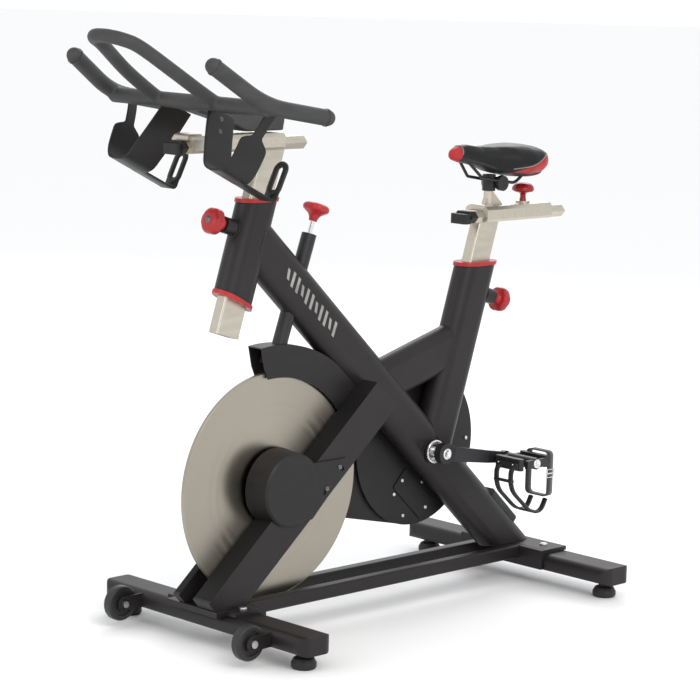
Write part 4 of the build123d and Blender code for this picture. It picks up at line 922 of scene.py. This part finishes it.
def add_fittings():
    """Screws, crank caps, bearing cups, painted-shade strips on the fork legs, weld beads and the plain bars
    on the main tube.
    """
    screws = bmesh.new()
    left = Vector((0, 1, 0))
    for x, z in ((70, 342), (106, 300)):
        screw_head(screws, mm(x, 76.1, z), left, 0.0056, 0.0024)
    add_piece("cover_screws", screws, "frame", MATERIAL["screw"])
    cups = bmesh.new()
    for side in (1, -1):
        lathe(cups, mm(CRANK_AT[0], side * 38, CRANK_AT[1]), Vector((0, side, 0)),
              [(0.0262, 0.0002), (0.0262, 0.0030), (0.0246, 0.0044), (0.0205, 0.0046), (0.0195, 0.0030),
               (0.0195, 0.0002)], 64, 16, 0.0006, 0.0255)
    add_piece("bearing_cups", cups, "frame", MATERIAL["chrome"])
    caps = bmesh.new()
    for side, face in ((1, 76), (-1, 81.5)):
        lathe(caps, mm(CRANK_AT[0], side * face, CRANK_AT[1]), Vector((0, side, 0)),
              [(0.0125, -0.001), (0.0125, 0.0014), (0.0112, 0.0026), (0.0092, 0.0030), (0.0078, 0.0018),
               (0.0062, 0.0018), (0.0058, 0.0004), (0, 0.0004)], 48)
    add_piece("crank_caps", caps, "crankset", MATERIAL["chrome"])
    # Near-black strips laid just proud of each fork leg's front face: painted shade for the dark band between
    # leg and flywheel, not a real part.
    leg_shade_strips = bmesh.new()
    for inner, outer in ((22.6, 71.4), (-39.4, -22.6)):
        rows = [[mm(x + 0.33, y, z + 0.38) for y in (inner, (inner + outer) / 2, outer)]
                for x, z in ((421, 106.4), (300, 212.6), (180, 317.9), (60, 423.2), (-12, 486.4))]
        strip(leg_shade_strips, rows)
    add_piece("leg_painted_shade", leg_shade_strips, "frame", MATERIAL["black_rubber"], smooth=False)
    beads = bmesh.new()
    for _, top, drop, half, forward in PINS:
        weld_bead(beads, pin_centre(top, drop) + forward * (half - 1.5) / 1000, forward, 0.0174)
    add_piece("weld_beads", beads, "frame", MATERIAL["charcoal"])
    bars = bmesh.new()
    slope = radians(43)
    along = Vector((-cos(slope), 0, -sin(slope)))
    across = Vector((-sin(slope), 0, cos(slope)))
    start = mm(196, 30.05, 579 + 196 * tan(slope))
    for k in range(11):
        reach = 0.0145 if k % 3 else 0.0095
        middle = start + along * (0.012 + 0.0185 * k)
        corners = []
        for sign_along, sign_across in ((-1, -1), (1, -1), (1, 1), (-1, 1)):
            lean = along * (0.006 * sign_across)
            place = middle + along * 0.0042 * sign_along - lean + across * reach * sign_across
            corners.append(bars.verts.new(place))
        bars.faces.new(corners)
    grown = bmesh.ops.extrude_face_region(bars, geom=bars.faces[:])
    front = [v for v in grown["geom"] if isinstance(v, bmesh.types.BMVert)]
    bmesh.ops.translate(bars, verts=front, vec=(0, 0.0003, 0))
    add_piece("tube_bars", bars, "frame", MATERIAL["bars"], smooth=False)


def webbing(name, colour):
    """Woven nylon tape: a diagonal twill with fuzz."""
    material, tree, surface = shader(name)
    where = node(tree, "ShaderNodeTexCoord")
    wave = node(tree, "ShaderNodeTexWave", wave_type="BANDS", bands_direction="DIAGONAL")
    wave.inputs["Scale"].default_value = 260
    wave.inputs["Distortion"].default_value = 1.2
    tree.links.new(where.outputs["Object"], wave.inputs["Vector"])
    body = ramp(tree, wave.outputs["Fac"], tuple(c * 0.55 for c in colour), colour, (0.2, 0.8))
    finish_surface(tree, surface, body, 0.78)
    surface.inputs["Sheen Weight"].default_value = 0.3
    add_bump(tree, surface, wave.outputs["Fac"], 0.5, 0.0004)
    return material


MATERIAL = {}


def make_materials():
    """Materials that several pieces share."""
    MATERIAL["screw"] = metal("black_oxide", (0.16, 0.16, 0.165), 0.34, scale=300)
    MATERIAL["chrome"] = metal("bright_chrome", (0.80, 0.80, 0.80), 0.14, scale=200, depth=0.03)
    MATERIAL["red"] = moulded("red_knob", (0.34, 0.016, 0.019), 0.28, 1300, 0.06, 0.0016)
    MATERIAL["nylon"] = moulded("clip_nylon", (0.018, 0.018, 0.019), 0.42)
    MATERIAL["webbing"] = webbing("strap_webbing", (0.03, 0.03, 0.032))
    # Near-black for the painted shade strips on the fork legs' front faces.
    MATERIAL["black_rubber"] = moulded("leg_painted_shade_black", (0.0022, 0.0021, 0.0023), 0.75, 900, 0.3)
    MATERIAL["charcoal"] = powder_coat("bead_coat", CHARCOAL)
    MATERIAL["bars"] = moulded("print_grey", (0.27, 0.26, 0.255), 0.5, 1500, 0.06, 0.0002, 0.1)


add_camera()
add_set()
dress_cad()
make_materials()
add_handlebar()
add_saddle()
add_cage(1, "bottle_cage_left")
add_cage(-1, "bottle_cage_right")
add_knobs()
add_toe_clip(1, "left", "left_pedal")
add_toe_clip(-1, "right", "right_pedal")
add_fittings()
